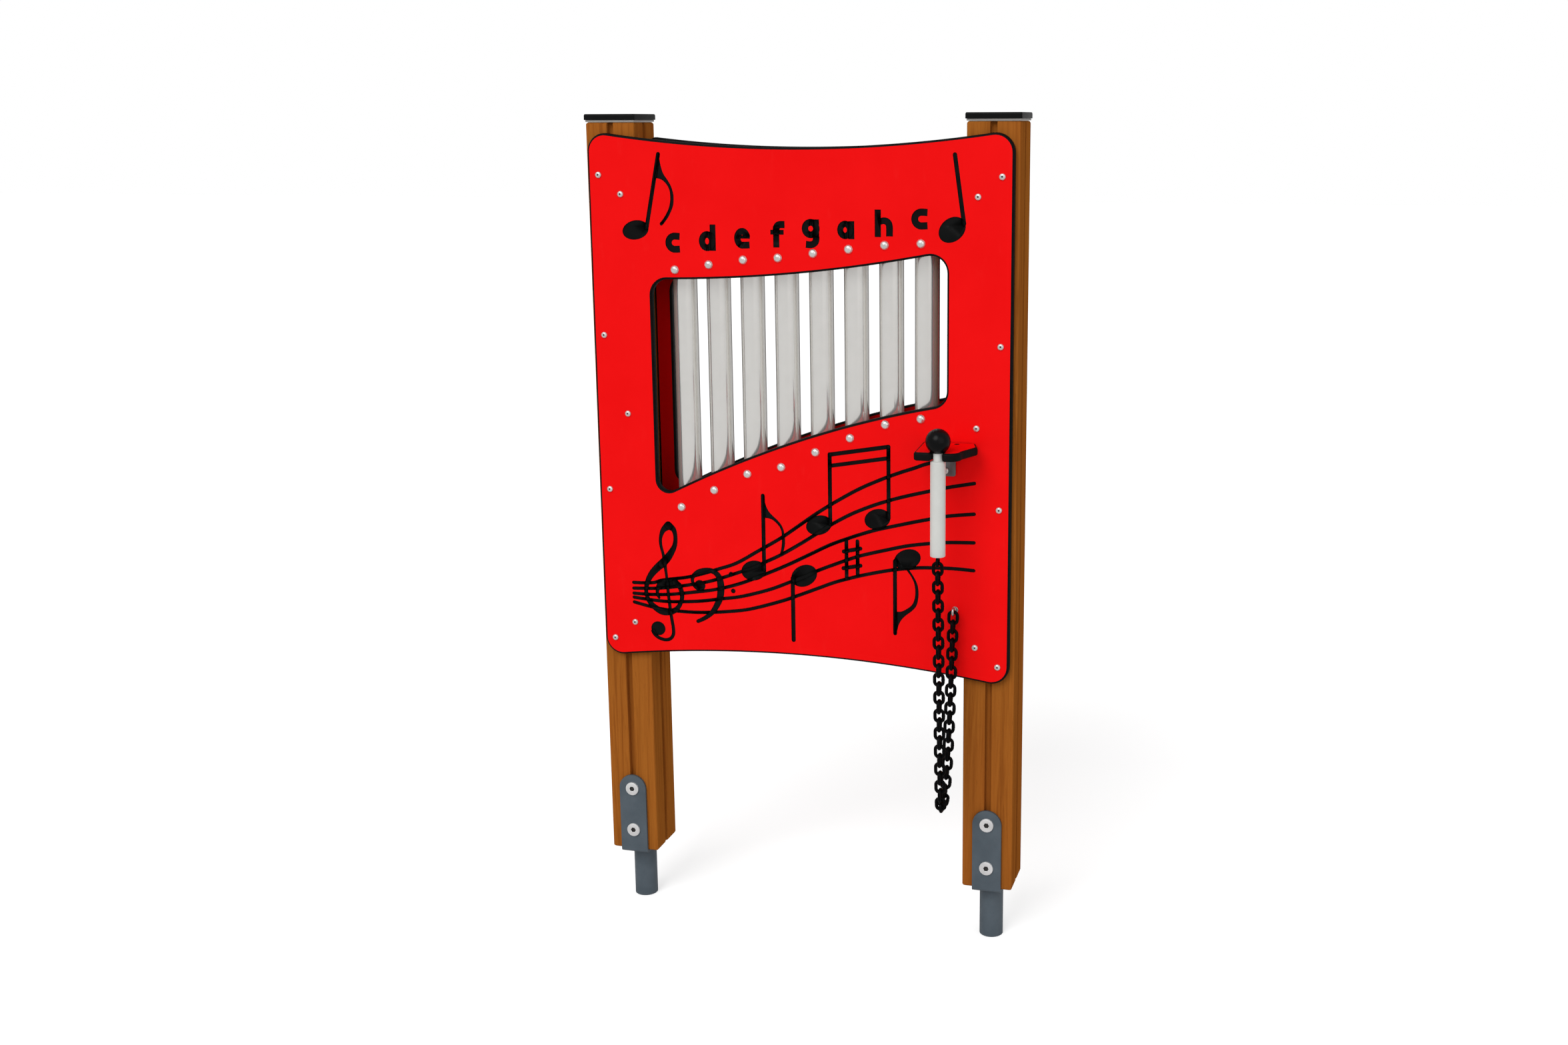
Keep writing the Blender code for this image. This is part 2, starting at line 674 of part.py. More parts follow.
def build_front_panel():
    red = material("red_sheet", (0.92, 0.004, 0.006), 0.35)
    outline = panel_outline(PANEL_WIDTH / 2, PANEL_CORNER_RADIUS)
    mesh = plate_mesh("front_panel", [outline, window_outline()], SHEET_THICKNESS,
                      SHEET_EDGE_ROUND, PANEL_EDGE_STEPS)
    panel = add_part("front_panel", mesh, red, (0, FRONT_PANEL_Y, 0), FACING_PLAYER)
    through = SHEET_THICKNESS + 2 * CUT_OVERRUN
    shape = bmesh.new()
    for x, z in chime_bolt_places():
        add_rod(shape, (x, FRONT_PANEL_Y, z), CHIME_BOLT_SHANK_RADIUS + HOLE_CLEARANCE,
                through, BOLT_STEPS)
    for x, z in screw_places():
        add_rod(shape, (x, FRONT_PANEL_Y, z), SCREW_SHANK_RADIUS + HOLE_CLEARANCE,
                through, BOLT_STEPS)
    add_rod(shape, (WALL_EYE_X, FRONT_PANEL_Y, WALL_EYE_Z),
            WALL_EYE_SHANK_RADIUS + HOLE_CLEARANCE, through, BOLT_STEPS)
    add_rod(shape, (bracket_x(), FRONT_PANEL_Y, bracket_screw_z()),
            SCREW_SHANK_RADIUS + HOLE_CLEARANCE, through, BOLT_STEPS)
    name = "front_panel_hole_cutter"
    combine(panel, add_cutter(name, mesh_from(name, shape)), "DIFFERENCE")


def build_back_panel():
    """The same sheet again, narrow enough to hang between the posts."""
    red = material("red_sheet_back", (0.92, 0.004, 0.006), 0.35)
    outline = panel_outline(BACK_PANEL_WIDTH / 2, BACK_PANEL_CORNER_RADIUS)
    mesh = plate_mesh("back_panel", [outline, window_outline(BACK_WINDOW_NARROWING)],
                      SHEET_THICKNESS, SHEET_EDGE_ROUND, PANEL_EDGE_STEPS)
    panel = add_part("back_panel", mesh, red, (0, BACK_PANEL_Y, 0), FACING_PLAYER)
    name = "back_panel_hole_cutter"
    holes = rods_mesh(name, [(x, BACK_PANEL_Y, z) for x, z in chime_bolt_places()],
                      CHIME_BOLT_SHANK_RADIUS + HOLE_CLEARANCE,
                      SHEET_THICKNESS + 2 * CUT_OVERRUN, BOLT_STEPS)
    combine(panel, add_cutter(name, holes), "DIFFERENCE")


def screw_profile(head_radius, head_height, shank_radius, shank_length):
    """A button head over a plain shank, its seat at height zero."""
    return [
        (0, head_height),
        (head_radius * SCREW_CROWN_RADIUS_SHARE, head_height * SCREW_CROWN_HEIGHT_SHARE),
        (head_radius, 0),
        (shank_radius, 0),
        (shank_radius, -shank_length),
        (0, -shank_length),
    ]


def build_panel_screws():
    steel = material("screw_steel", (0.62, 0.62, 0.60), 0.3, 0.9)
    seat_y = PANEL_FACE_Y - SEAT_GAP
    shank = SHEET_THICKNESS + SEAT_GAP + SCREW_BITE
    mesh = profile_mesh("panel_screw", screw_profile(SCREW_HEAD_RADIUS, SCREW_HEAD_HEIGHT,
                                                     SCREW_SHANK_RADIUS, shank))
    for number, (x, z) in enumerate(screw_places(), start=1):
        screw = add_part(f"panel_screw_{number:02d}", mesh, steel, (x, seat_y, z), FACING_PLAYER)
        turn_about_z(screw, BOLT_STEPS)


# Chimes

def build_chimes():
    aluminium = material("anodised_aluminium", (0.60, 0.60, 0.57), 0.45, 0.8)
    bore = CHIME_RADIUS - CHIME_WALL
    for number, row in enumerate(chime_rows(), start=1):
        name = f"chime_{number}"
        profile = [(CHIME_RADIUS, 0), (CHIME_RADIUS, -row["length"]), (bore, -row["length"]), (bore, 0)]
        chime = add_part(name, profile_mesh(name, profile, closed=True), aluminium,
                         (row["x"], CHIME_Y, CHIME_TOP_Z))
        turn_about_z(chime, ROUND_STEPS)
        holes = rods_mesh(f"{name}_holes",
                          [(row["x"], CHIME_Y, z) for z in (row["upper_z"], row["lower_z"])],
                          CHIME_BOLT_SHANK_RADIUS + HOLE_CLEARANCE,
                          2 * (CHIME_RADIUS + CUT_OVERRUN), BOLT_STEPS)
        combine(chime, add_cutter(f"{name}_hole_cutter", holes), "DIFFERENCE")


def build_chime_bolts():
    """Head, shank, the two spacers that hold the chime and the cap nut, as one turned solid."""
    steel = material("bolt_steel", (0.68, 0.68, 0.67), 0.25, 0.9)
    head_seat = -PANEL_FACE_Y + SEAT_GAP
    nut_seat = -BACK_PANEL_REAR_Y - SEAT_GAP
    head = CHIME_BOLT_HEAD_RADIUS
    shank = CHIME_BOLT_SHANK_RADIUS
    spacer = CHIME_BOLT_SPACER_RADIUS
    crown = CHIME_BOLT_HEAD_HEIGHT
    profile = [
        (0, head_seat + crown),
        (head * CHIME_BOLT_CROWN_SHARE, head_seat + crown * CHIME_BOLT_CROWN_SHARE),
        (head, head_seat),
        (shank, head_seat),
        (shank, -POST_FRONT_Y - SEAT_GAP),
        (spacer, -POST_FRONT_Y - SEAT_GAP),
        (spacer, -CHIME_Y + CHIME_RADIUS + SEAT_GAP),
        (shank, -CHIME_Y + CHIME_RADIUS + SEAT_GAP),
        (shank, -CHIME_Y - CHIME_RADIUS - SEAT_GAP),
        (spacer, -CHIME_Y - CHIME_RADIUS - SEAT_GAP),
        (spacer, -BACK_PANEL_FRONT_Y + SEAT_GAP),
        (shank, -BACK_PANEL_FRONT_Y + SEAT_GAP),
        (shank, nut_seat),
        (head, nut_seat),
        (head * CHIME_BOLT_CROWN_SHARE, nut_seat - crown),
        (0, nut_seat - crown),
    ]
    mesh = profile_mesh("chime_bolt", profile)
    for number, row in enumerate(chime_rows(), start=1):
        for end, z in (("upper", row["upper_z"]), ("lower", row["lower_z"])):
            bolt = add_part(f"chime_bolt_{number}_{end}", mesh, steel, (row["x"], 0, z),
                            FACING_PLAYER)
            turn_about_z(bolt, BOLT_STEPS)


# Mallet shelf and its bracket

def shelf_outline():
    """A rounded plate with a slot for the mallet's neck and a flared tip on its right.

    It is drawn in plan about the mallet's middle, with Y measured from the panel's face.
    """
    inset = SHEET_EDGE_ROUND
    back = -SEAT_GAP - inset
    front = -SHELF_DEPTH + inset
    slot = SHELF_SLOT_WIDTH / 2 + inset
    corners = [(slot, -MALLET_FROM_PANEL), (slot, front), (SHELF_RIGHT_REACH - inset, front),
               (SHELF_RIGHT_REACH - inset, -SHELF_WAIST_FROM_PANEL),
               (SHELF_TIP_REACH - inset, -SHELF_TIP_FROM_PANEL),
               (SHELF_RIGHT_BACK_REACH - inset, back), (inset - SHELF_LEFT_BACK_REACH, back),
               (inset - SHELF_LEFT_REACH, front), (-slot, front), (-slot, -MALLET_FROM_PANEL)]
    mouth = SHELF_SLOT_MOUTH_RADIUS
    radii = [0, mouth, SHELF_RIGHT_RADIUS - inset, SHELF_WAIST_RADIUS, SHELF_TIP_RADIUS - inset,
             SHELF_BACK_RADIUS - inset, SHELF_BACK_RADIUS - inset, SHELF_LEFT_RADIUS - inset,
             mouth, 0]
    outline = rounded_outline(corners, [0] * len(corners), radii, arc_steps=3)
    arc_steps = 7
    outline += [(-slot * math.cos(math.pi * step / arc_steps),
                 -MALLET_FROM_PANEL + slot * math.sin(math.pi * step / arc_steps))
                for step in range(1, arc_steps)]
    return outline


def bracket_x():
    return SHELF_X - BRACKET_LEG_OFFSET


def bracket_top_z():
    return SHELF_TOP_Z - SHEET_THICKNESS - SEAT_GAP


def bracket_screw_z():
    return bracket_top_z() - BRACKET_SCREW_DROP


def shelf_screw_places():
    y = PANEL_FACE_Y - SHELF_SCREW_FROM_PANEL
    half = SHELF_SCREW_SPACING / 2
    return [(SHELF_X - half, y), (SHELF_X + half, y)]


def build_shelf():
    red = material("red_sheet_shelf", (0.92, 0.004, 0.006), 0.35)
    mesh = plate_mesh("mallet_shelf", [shelf_outline()], SHEET_THICKNESS, SHEET_EDGE_ROUND,
                      SHELF_EDGE_STEPS)
    middle_z = SHELF_TOP_Z - SHEET_THICKNESS / 2
    shelf = add_part("mallet_shelf", mesh, red, (SHELF_X, PANEL_FACE_Y, middle_z))
    shape = bmesh.new()
    for x, y in shelf_screw_places():
        add_rod(shape, (x, y, middle_z), SHELF_SCREW_SHANK_RADIUS + HOLE_CLEARANCE,
                SHEET_THICKNESS + 2 * CUT_OVERRUN, BOLT_STEPS, "Z")
    name = "mallet_shelf_hole_cutter"
    combine(shelf, add_cutter(name, mesh_from(name, shape)), "DIFFERENCE")
    pockets = rods_mesh("mallet_shelf_pocket_cutter",
                        [(x, y, SHELF_TOP_Z - (SHELF_SCREW_SINK - CUT_OVERRUN) / 2)
                         for x, y in shelf_screw_places()],
                        SHELF_SCREW_HEAD_RADIUS + HOLE_CLEARANCE, SHELF_SCREW_SINK + CUT_OVERRUN,
                        BOLT_STEPS, "Z")
    combine(shelf, add_cutter("mallet_shelf_pocket_cutter", pockets), "DIFFERENCE")


def build_shelf_screws():
    """Sunk screws that go down through the shelf into the bracket's foot."""
    dark = material("dark_screw", (0.03, 0.03, 0.03), 0.4, 0.8)
    seat_z = SHELF_TOP_Z - SHELF_SCREW_SINK + SEAT_GAP
    length = SHEET_THICKNESS - SHELF_SCREW_SINK + BRACKET_THICKNESS + 2 * SEAT_GAP
    mesh = profile_mesh("shelf_screw", screw_profile(SHELF_SCREW_HEAD_RADIUS,
                                                     SHELF_SCREW_HEAD_HEIGHT,
                                                     SHELF_SCREW_SHANK_RADIUS, length))
    for name, (x, y) in zip(("shelf_screw_left", "shelf_screw_right"), shelf_screw_places()):
        screw = add_part(name, mesh, dark, (x, y, seat_z))
        turn_about_z(screw, BOLT_STEPS)


def build_bracket():
    """A leg flat on the panel and a wider foot under the shelf."""
    steel = material("bracket_steel", (0.45, 0.45, 0.45), 0.35, 0.9)
    leg_y = PANEL_FACE_Y - SEAT_GAP - BRACKET_THICKNESS / 2
    top = bracket_top_z()
    half = BRACKET_LEG_WIDTH / 2
    corner = BRACKET_CORNER_RADIUS
    face = rounded_outline([(-half, -BRACKET_LEG_HEIGHT), (half, -BRACKET_LEG_HEIGHT),
                            (half, 0), (-half, 0)], [0] * 4, [corner, corner, 0, 0], arc_steps=2)
    leg = plate_mesh("shelf_bracket", [face], BRACKET_THICKNESS)
    bracket = add_part("shelf_bracket", leg, steel, (bracket_x(), leg_y, top), FACING_PLAYER)
    foot_back = PANEL_FACE_Y - SEAT_GAP
    foot = box_mesh("shelf_bracket_foot",
                    (SHELF_X, foot_back - BRACKET_FOOT_DEPTH / 2, top - BRACKET_THICKNESS / 2),
                    (BRACKET_FOOT_WIDTH, BRACKET_FOOT_DEPTH, BRACKET_THICKNESS))
    combine(bracket, add_cutter("shelf_bracket_foot", foot), "UNION")
    shape = bmesh.new()
    add_rod(shape, (bracket_x(), leg_y, bracket_screw_z()), SCREW_SHANK_RADIUS + HOLE_CLEARANCE,
            BRACKET_THICKNESS + 2 * CUT_OVERRUN, BOLT_STEPS)
    for x, y in shelf_screw_places():
        add_rod(shape, (x, y, top - BRACKET_THICKNESS / 2),
                SHELF_SCREW_SHANK_RADIUS + HOLE_CLEARANCE,
                BRACKET_THICKNESS + 2 * CUT_OVERRUN, BOLT_STEPS, "Z")
    name = "shelf_bracket_hole_cutter"
    combine(bracket, add_cutter(name, mesh_from(name, shape)), "DIFFERENCE")


def build_bracket_screw():
    steel = material("bracket_screw_steel", (0.66, 0.66, 0.65), 0.3, 0.9)
    seat_y = PANEL_FACE_Y - BRACKET_THICKNESS - 2 * SEAT_GAP
    length = SHEET_THICKNESS + BRACKET_THICKNESS + SEAT_GAP
    mesh = profile_mesh("bracket_screw", screw_profile(BRACKET_SCREW_HEAD_RADIUS,
                                                       SCREW_HEAD_HEIGHT,
                                                       SCREW_SHANK_RADIUS, length))
    screw = add_part("bracket_screw", mesh, steel, (bracket_x(), seat_y, bracket_screw_z()),
                     FACING_PLAYER)
    turn_about_z(screw, BOLT_STEPS)


# Mallet

def ball_centre_z():
    """The ball rests on the rounded edges of the slot."""
    reach = BALL_RADIUS + SEAT_GAP + SHEET_EDGE_ROUND
    edge_centre = SHELF_SLOT_WIDTH / 2 + SHEET_EDGE_ROUND
    return SHELF_TOP_Z - SHEET_EDGE_ROUND + math.sqrt(reach ** 2 - edge_centre ** 2)


def grip_top_z():
    return SHELF_TOP_Z - SHEET_THICKNESS - GRIP_SHOULDER_GAP


def mallet_eye_z():
    return grip_top_z() - GRIP_LENGTH - MALLET_EYE_DROP


def hinge_lift():
    """How far the wire of a link that hangs in an eye stands above the eye's wire."""
    return EYE_WIRE_RADIUS + EYE_CLEARANCE + CHAIN_WIRE_RADIUS


def mallet_hinge():
    """The middle of the first link's upper wire, in the mallet's eye."""
    return Vector((SHELF_X, MALLET_Y, mallet_eye_z() - MALLET_EYE_RADIUS + hinge_lift()))


def wall_hinge():
    """The middle of the last link's upper wire, in the eye on the panel."""
    y = PANEL_FACE_Y - WALL_EYE_FROM_PANEL
    return Vector((WALL_EYE_X, y, WALL_EYE_Z - WALL_EYE_RADIUS + hinge_lift()))


def ring_mesh(name, centre, radius):
    """A ring of eye wire, standing in the plane of Y and Z."""
    steps = EYE_RING_STEPS
    points = [(centre[0], centre[1] + radius * math.cos(2 * math.pi * step / steps),
               centre[2] + radius * math.sin(2 * math.pi * step / steps))
              for step in range(steps)]
    return wire_mesh(name, points, EYE_WIRE_RADIUS, cyclic=True)


def build_ball(axis):
    black = material("black_rubber_ball", (0.012, 0.012, 0.012), 0.4)
    shape = bmesh.new()
    bmesh.ops.create_uvsphere(shape, u_segments=BALL_STEPS, v_segments=BALL_STEPS // 2 + 2,
                              radius=BALL_RADIUS)
    ball = add_part("mallet_ball", mesh_from("mallet_ball", shape), black,
                    (SHELF_X, MALLET_Y, ball_centre_z()))
    bottom = ball_centre_z() - BALL_RADIUS
    length = NECK_SOCKET_DEPTH + CUT_OVERRUN
    socket = rods_mesh("mallet_ball_socket",
                       [(SHELF_X, MALLET_Y, bottom + NECK_SOCKET_DEPTH - length / 2)],
                       NECK_RADIUS + HOLE_CLEARANCE, length, HEAD_STEPS, "Z")
    combine(ball, add_cutter("mallet_ball_socket", socket), "DIFFERENCE")
    adopt(ball, axis)


def build_handle(axis):
    """Neck and grip turned in one, with the chain's eye let into the lower end."""
    grey = material("pale_grey_handle", (0.62, 0.62, 0.59), 0.5)
    neck_top = ball_centre_z() - BALL_RADIUS + NECK_SOCKET_DEPTH - SEAT_GAP
    grip_top = grip_top_z()
    grip_bottom = grip_top - GRIP_LENGTH
    soft = GRIP_EDGE_ROUND
    profile = [
        (0, neck_top),
        (NECK_RADIUS, neck_top),
        (NECK_RADIUS, grip_top),
        (GRIP_RADIUS - soft, grip_top),
        (GRIP_RADIUS, grip_top - soft),
        (GRIP_RADIUS, grip_bottom + soft),
        (GRIP_RADIUS - soft, grip_bottom),
        (0, grip_bottom),
    ]
    handle = add_part("mallet_handle", profile_mesh("mallet_handle", profile), grey,
                      (SHELF_X, MALLET_Y, 0))
    turn_about_z(handle, HEAD_STEPS)
    ring = ring_mesh("mallet_eye_ring", (SHELF_X, MALLET_Y, mallet_eye_z()), MALLET_EYE_RADIUS)
    ring_top = mallet_eye_z() + MALLET_EYE_RADIUS - EYE_STEM_SINK
    combine(handle, add_cutter("mallet_eye_ring", ring), "UNION")
    stem_length = grip_bottom + GRIP_RADIUS - ring_top
    stem = rods_mesh("mallet_eye_stem", [(SHELF_X, MALLET_Y, ring_top + stem_length / 2)],
                     EYE_WIRE_RADIUS, stem_length, BOLT_STEPS, "Z")
    combine(handle, add_cutter("mallet_eye_stem", stem), "UNION")
    adopt(handle, axis)


def build_wall_eye():
    """The eye bolt on the panel, with its collar in front and its nut behind."""
    steel = material("eye_steel", (0.66, 0.66, 0.65), 0.3, 0.9)
    y = PANEL_FACE_Y - WALL_EYE_FROM_PANEL
    tip = WALL_EYE_FROM_PANEL - WALL_EYE_RADIUS + EYE_STEM_SINK
    seat = SEAT_GAP
    nut_seat = -SHEET_THICKNESS - SEAT_GAP
    collar = WALL_EYE_COLLAR_RADIUS
    shank = WALL_EYE_SHANK_RADIUS
    profile = [
        (0, tip),
        (EYE_WIRE_RADIUS, tip),
        (shank, seat + WALL_EYE_COLLAR_HEIGHT),
        (collar, seat + WALL_EYE_COLLAR_HEIGHT),
        (collar, seat),
        (shank, seat),
        (shank, nut_seat),
        (collar, nut_seat),
        (collar, nut_seat - WALL_EYE_NUT_HEIGHT),
        (0, nut_seat - WALL_EYE_NUT_HEIGHT),
    ]
    eye = add_part("chain_eye_bolt", profile_mesh("chain_eye_bolt", profile), steel,
                   (WALL_EYE_X, PANEL_FACE_Y, WALL_EYE_Z), FACING_PLAYER)
    turn_about_z(eye, BOLT_STEPS)
    ring = ring_mesh("wall_eye_ring", (WALL_EYE_X, y, WALL_EYE_Z), WALL_EYE_RADIUS)
    combine(eye, add_cutter("wall_eye_ring", ring), "UNION")


# Chain

def strand_slopes(count, flat_links, run, drop):
    """Unit steps (across, down) of a hanging strand's links, from its lowest one up.

    Each link carries those below it, so its slope grows by the same amount from link
    to link. The amount is found by halving, for the strand's width and height.
    """
    low, high = BISECTION_RANGE
    for _ in range(BISECTION_ROUNDS):
        pull = (low + high) / 2
        angles = [0.0] * flat_links
        angles += [math.atan(pull * number) for number in range(1, count - flat_links + 1)]
        across = sum(math.cos(angle) for angle in angles)
        down = sum(math.sin(angle) for angle in angles)
        if across / down > run / drop:
            low = pull
        else:
            high = pull
    return [(math.cos(angle), math.sin(angle)) for angle in angles], drop / down


def strand_joints(top, foot, count, flat_links):
    """The points where a strand's links touch, from its top to its foot."""
    run = abs(foot.y - top.y)
    drop = top.z - foot.z
    direction = 1 if foot.y > top.y else -1
    slopes, pitch = strand_slopes(count, flat_links, run, drop)
    joints = [foot.copy()]
    for number, (across, down) in enumerate(slopes, start=1):
        last = joints[-1]
        x = foot.x + (top.x - foot.x) * number / count
        joints.append(Vector((x, last.y - direction * across * pitch, last.z + down * pitch)))
    joints.reverse()
    return joints, pitch


def link_mesh(name, pitch):
    """One link, its length along Z and its width along X, as an eight-cornered wire loop."""
    inner_half = (pitch - CHAIN_LINK_FUSE) / 2
    half_length = inner_half + CHAIN_WIRE_RADIUS
    half_width = CHAIN_LINK_WIDTH / 2 - CHAIN_WIRE_RADIUS
    crown = half_width * CHAIN_LINK_CROWN_SHARE
    shoulder = half_length - (half_width - crown)
    corners = [(half_width, shoulder), (crown, half_length), (-crown, half_length),
               (-half_width, shoulder), (-half_width, -shoulder), (-crown, -half_length),
               (crown, -half_length), (half_width, -shoulder)]
    return wire_mesh(name, [(x, 0, z) for x, z in corners], CHAIN_WIRE_RADIUS, cyclic=True)


def link_placement(upper, lower, edge_on):
    """Where a link lies between two joints, turned a quarter about its length if edge on."""
    along = (upper - lower).normalized()
    side = (Vector((1, 0, 0)) - along * along.x).normalized()
    face = along.cross(side)
    if edge_on:
        side, face = face, -side
    turned = Matrix((side, face, along)).transposed().to_4x4()
    return Matrix.Translation((upper + lower) / 2) @ turned


def build_strand(name, hinge, foot, count, flat_links):
    """A strand of links joined where they touch, so that it swings as one piece."""
    black = material("black_chain", (0.012, 0.012, 0.013), 0.4, 0.3)
    top = hinge - Vector((0, 0, CHAIN_WIRE_RADIUS - CHAIN_LINK_FUSE / 2))
    joints, pitch = strand_joints(top, foot, count, flat_links)
    link = link_mesh(f"{name}_link", pitch)
    axis = add_axis(f"{name}_axis", hinge)
    strand = None
    for number, (upper, lower) in enumerate(zip(joints, joints[1:])):
        placed = link_placement(upper, lower, number % 2 == 1)
        if strand is None:
            strand = add_part(name, link, black)
            strand.matrix_world = placed
        else:
            cutter = add_cutter(f"{name}_link_{number + 1:02d}", link)
            cutter.matrix_world = placed
            combine(strand, cutter, "UNION")
    adopt(strand, axis)
    return axis


def build_chain(mallet_axis):
    """Two strands that meet at the chain's lowest point, where the links only interlock."""
    front_top = mallet_hinge()
    rear_top = wall_hinge()
    middle_x = (front_top.x + rear_top.x) / 2
    front_foot = Vector((middle_x, CHAIN_LOW_Y, CHAIN_LOW_Z))
    rear_foot = front_foot + Vector((0, -CHAIN_OPEN_SHIFT, CHAIN_OPEN_LIFT))
    front_count = round((front_top - front_foot).length / CHAIN_LINK_PITCH) + 1
    odd = (front_count + 1) % 2
    rear_reach = (rear_top - rear_foot).length / CHAIN_LINK_PITCH
    rear_count = 2 * round((rear_reach - odd) / 2) + odd
    front_axis = build_strand("chain_front", front_top, front_foot, front_count, 1)
    adopt(front_axis, mallet_axis)
    build_strand("chain_rear", rear_top, rear_foot, rear_count, 0)


def build():
    start_scene()
    build_posts()
    build_caps()
    build_anchors()
    build_anchor_bolts()
    build_front_panel()
    build_back_panel()
    build_panel_screws()
    build_chimes()
    build_chime_bolts()
    build_shelf()
    build_shelf_screws()
    build_bracket()
    build_bracket_screw()
    build_wall_eye()
    mallet_axis = add_axis("mallet_pull_axis", (SHELF_X, MALLET_Y, ball_centre_z()))
    build_ball(mallet_axis)
    build_handle(mallet_axis)
    build_chain(mallet_axis)


build()
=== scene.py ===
"""Looks for the xylophone play panel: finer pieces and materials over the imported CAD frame.

Metres, Z up, in the frame of the CAD. X runs to the right as the player sees the panel,
and Y runs away from the player. Lengths written in millimetres are multiplied by MM.
"""

import math

import bmesh
import bpy
from mathutils import Matrix, Vector


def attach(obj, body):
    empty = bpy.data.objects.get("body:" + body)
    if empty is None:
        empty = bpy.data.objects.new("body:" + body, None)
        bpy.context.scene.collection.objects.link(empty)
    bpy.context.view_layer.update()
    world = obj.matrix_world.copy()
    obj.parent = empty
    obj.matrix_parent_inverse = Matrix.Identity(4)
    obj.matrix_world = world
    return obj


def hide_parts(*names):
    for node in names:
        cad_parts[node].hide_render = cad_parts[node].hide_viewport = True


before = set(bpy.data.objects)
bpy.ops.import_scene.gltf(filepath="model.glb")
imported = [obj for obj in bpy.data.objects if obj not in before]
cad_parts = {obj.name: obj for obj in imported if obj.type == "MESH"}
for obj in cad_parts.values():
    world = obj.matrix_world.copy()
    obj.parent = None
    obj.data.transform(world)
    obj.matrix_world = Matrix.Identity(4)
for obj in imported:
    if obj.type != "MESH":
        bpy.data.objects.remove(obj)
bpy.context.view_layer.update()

MM = 0.001
SIDES = (("left", -1), ("right", 1))

# Camera, fitted to the photograph
CAMERA_PLACE = Vector((0.95042, -2.96949, 1.53019))
CAMERA_YAW = -0.262368
CAMERA_PITCH = -0.207947
CAMERA_ROLL = -0.003430
CAMERA_LENS = 38.895
CAMERA_SHIFT = (-0.06591, -0.02708)

# Sizes shared with the CAD source
POST_WIDTH = 0.095
POST_SPACING = 0.7147
POST_BOTTOM_Z = 0.112
POST_TOP_Z = 1.533
POST_CORNER_RADIUS = 0.0025
POST_GROOVE_WIDTH = 0.012
POST_GROOVE_DEPTH = 0.011
CAP_WIDTH = 0.100
CAP_PLATE_HEIGHT = 0.0107
CAP_FOOT_WIDTH = 0.096
CAP_FOOT_HEIGHT = 0.0035
STRAP_WIDTH = 0.055
STRAP_THICKNESS = 0.005
STRAP_TOP_Z = 0.2695
STRAP_BEND_RADIUS = 0.006
ANCHOR_TUBE_RADIUS = 0.0225
ANCHOR_TUBE_WALL = 0.0035
ANCHOR_BOLT_SPACING = 0.0865
ANCHOR_BOLT_HEAD_RADIUS = 0.01325
ANCHOR_BOLT_HEAD_HEIGHT = 0.0035
SHEET_THICKNESS = 0.015
SHEET_EDGE_ROUND = 0.004
PANEL_WIDTH = 0.795
PANEL_CENTRE_Z = 1.018
PANEL_MID_HEIGHT = 0.940
PANEL_EDGE_SAG = 0.0300
PANEL_CORNER_RADIUS = 0.034
PANEL_GAP = 0.070
BACK_PANEL_HALF_WIDTH = 0.30885
BACK_PANEL_CORNER_RADIUS = 0.010
BACK_WINDOW_NARROWING = 0.003
WINDOW_WIDTH = 0.5555
WINDOW_TOP_LEFT_Z = 1.2523
WINDOW_TOP_RIGHT_Z = 1.3110
WINDOW_TOP_SAG = 0.0145
WINDOW_BOTTOM_LEFT_Z = 0.8320
WINDOW_BOTTOM_RIGHT_Z = 1.0355
WINDOW_BOTTOM_RISE = 0.0240
WINDOW_CORNER_RADIUS = 0.030
SCREW_OUTER_X = 0.3764
SCREW_INNER_X = 0.3341
SCREW_OUTER_ROWS_Z = (0.556, 0.850, 1.1442, 1.4385)
SCREW_INNER_ROWS_Z = (0.590, 0.997, 1.404)
CHIME_RADIUS = 0.0225
CHIME_WALL = 0.003
CHIME_PITCH = 0.0663
CHIME_TOP_Z = 1.4491
LONGEST_CHIME = 0.8075
SCALE_SEMITONES = (0, 2, 4, 5, 7, 9, 11, 12)
SEMITONES_TO_HALVE_LENGTH = 23.4
NODE_POINT_SHARE = 0.2242
SHELF_X = 0.2859
SHELF_TOP_Z = 0.970
SHELF_DEPTH = 0.1075
SHELF_LEFT_REACH = 0.0414
SHELF_LEFT_BACK_REACH = 0.0484
SHELF_RIGHT_REACH = 0.0411
SHELF_WAIST_FROM_PANEL = 0.080
SHELF_TIP_REACH = 0.0581
SHELF_TIP_FROM_PANEL = 0.035
SHELF_RIGHT_BACK_REACH = 0.0486
SHELF_SLOT_WIDTH = 0.020
SHELF_SCREW_SPACING = 0.0322
SHELF_SCREW_FROM_PANEL = 0.0145
SHELF_SCREW_SINK = 0.0035
BRACKET_THICKNESS = 0.003
BRACKET_LEG_OFFSET = 0.0077
BRACKET_LEG_WIDTH = 0.038
BRACKET_LEG_HEIGHT = 0.046
BRACKET_FOOT_WIDTH = 0.054
BRACKET_FOOT_DEPTH = 0.045
BRACKET_SCREW_DROP = 0.036
MALLET_FROM_PANEL = 0.0927
BALL_RADIUS = 0.0223
NECK_RADIUS = 0.0085
NECK_SOCKET_DEPTH = 0.012
GRIP_RADIUS = 0.0135
GRIP_LENGTH = 0.1715
GRIP_SHOULDER_GAP = 0.001
EYE_WIRE_RADIUS = 0.00225
MALLET_EYE_RADIUS = 0.0078
MALLET_EYE_DROP = 0.010
WALL_EYE_OFFSET = 0.0111
WALL_EYE_Z = 0.660
WALL_EYE_RADIUS = 0.006
WALL_EYE_FROM_PANEL = 0.0155
CHAIN_LINK_FUSE = 0.0014
CHAIN_FRONT_LINKS = 28
CHAIN_REAR_LINKS = 21
CHAIN_LOW_Y = -0.131
CHAIN_LOW_Z = 0.308
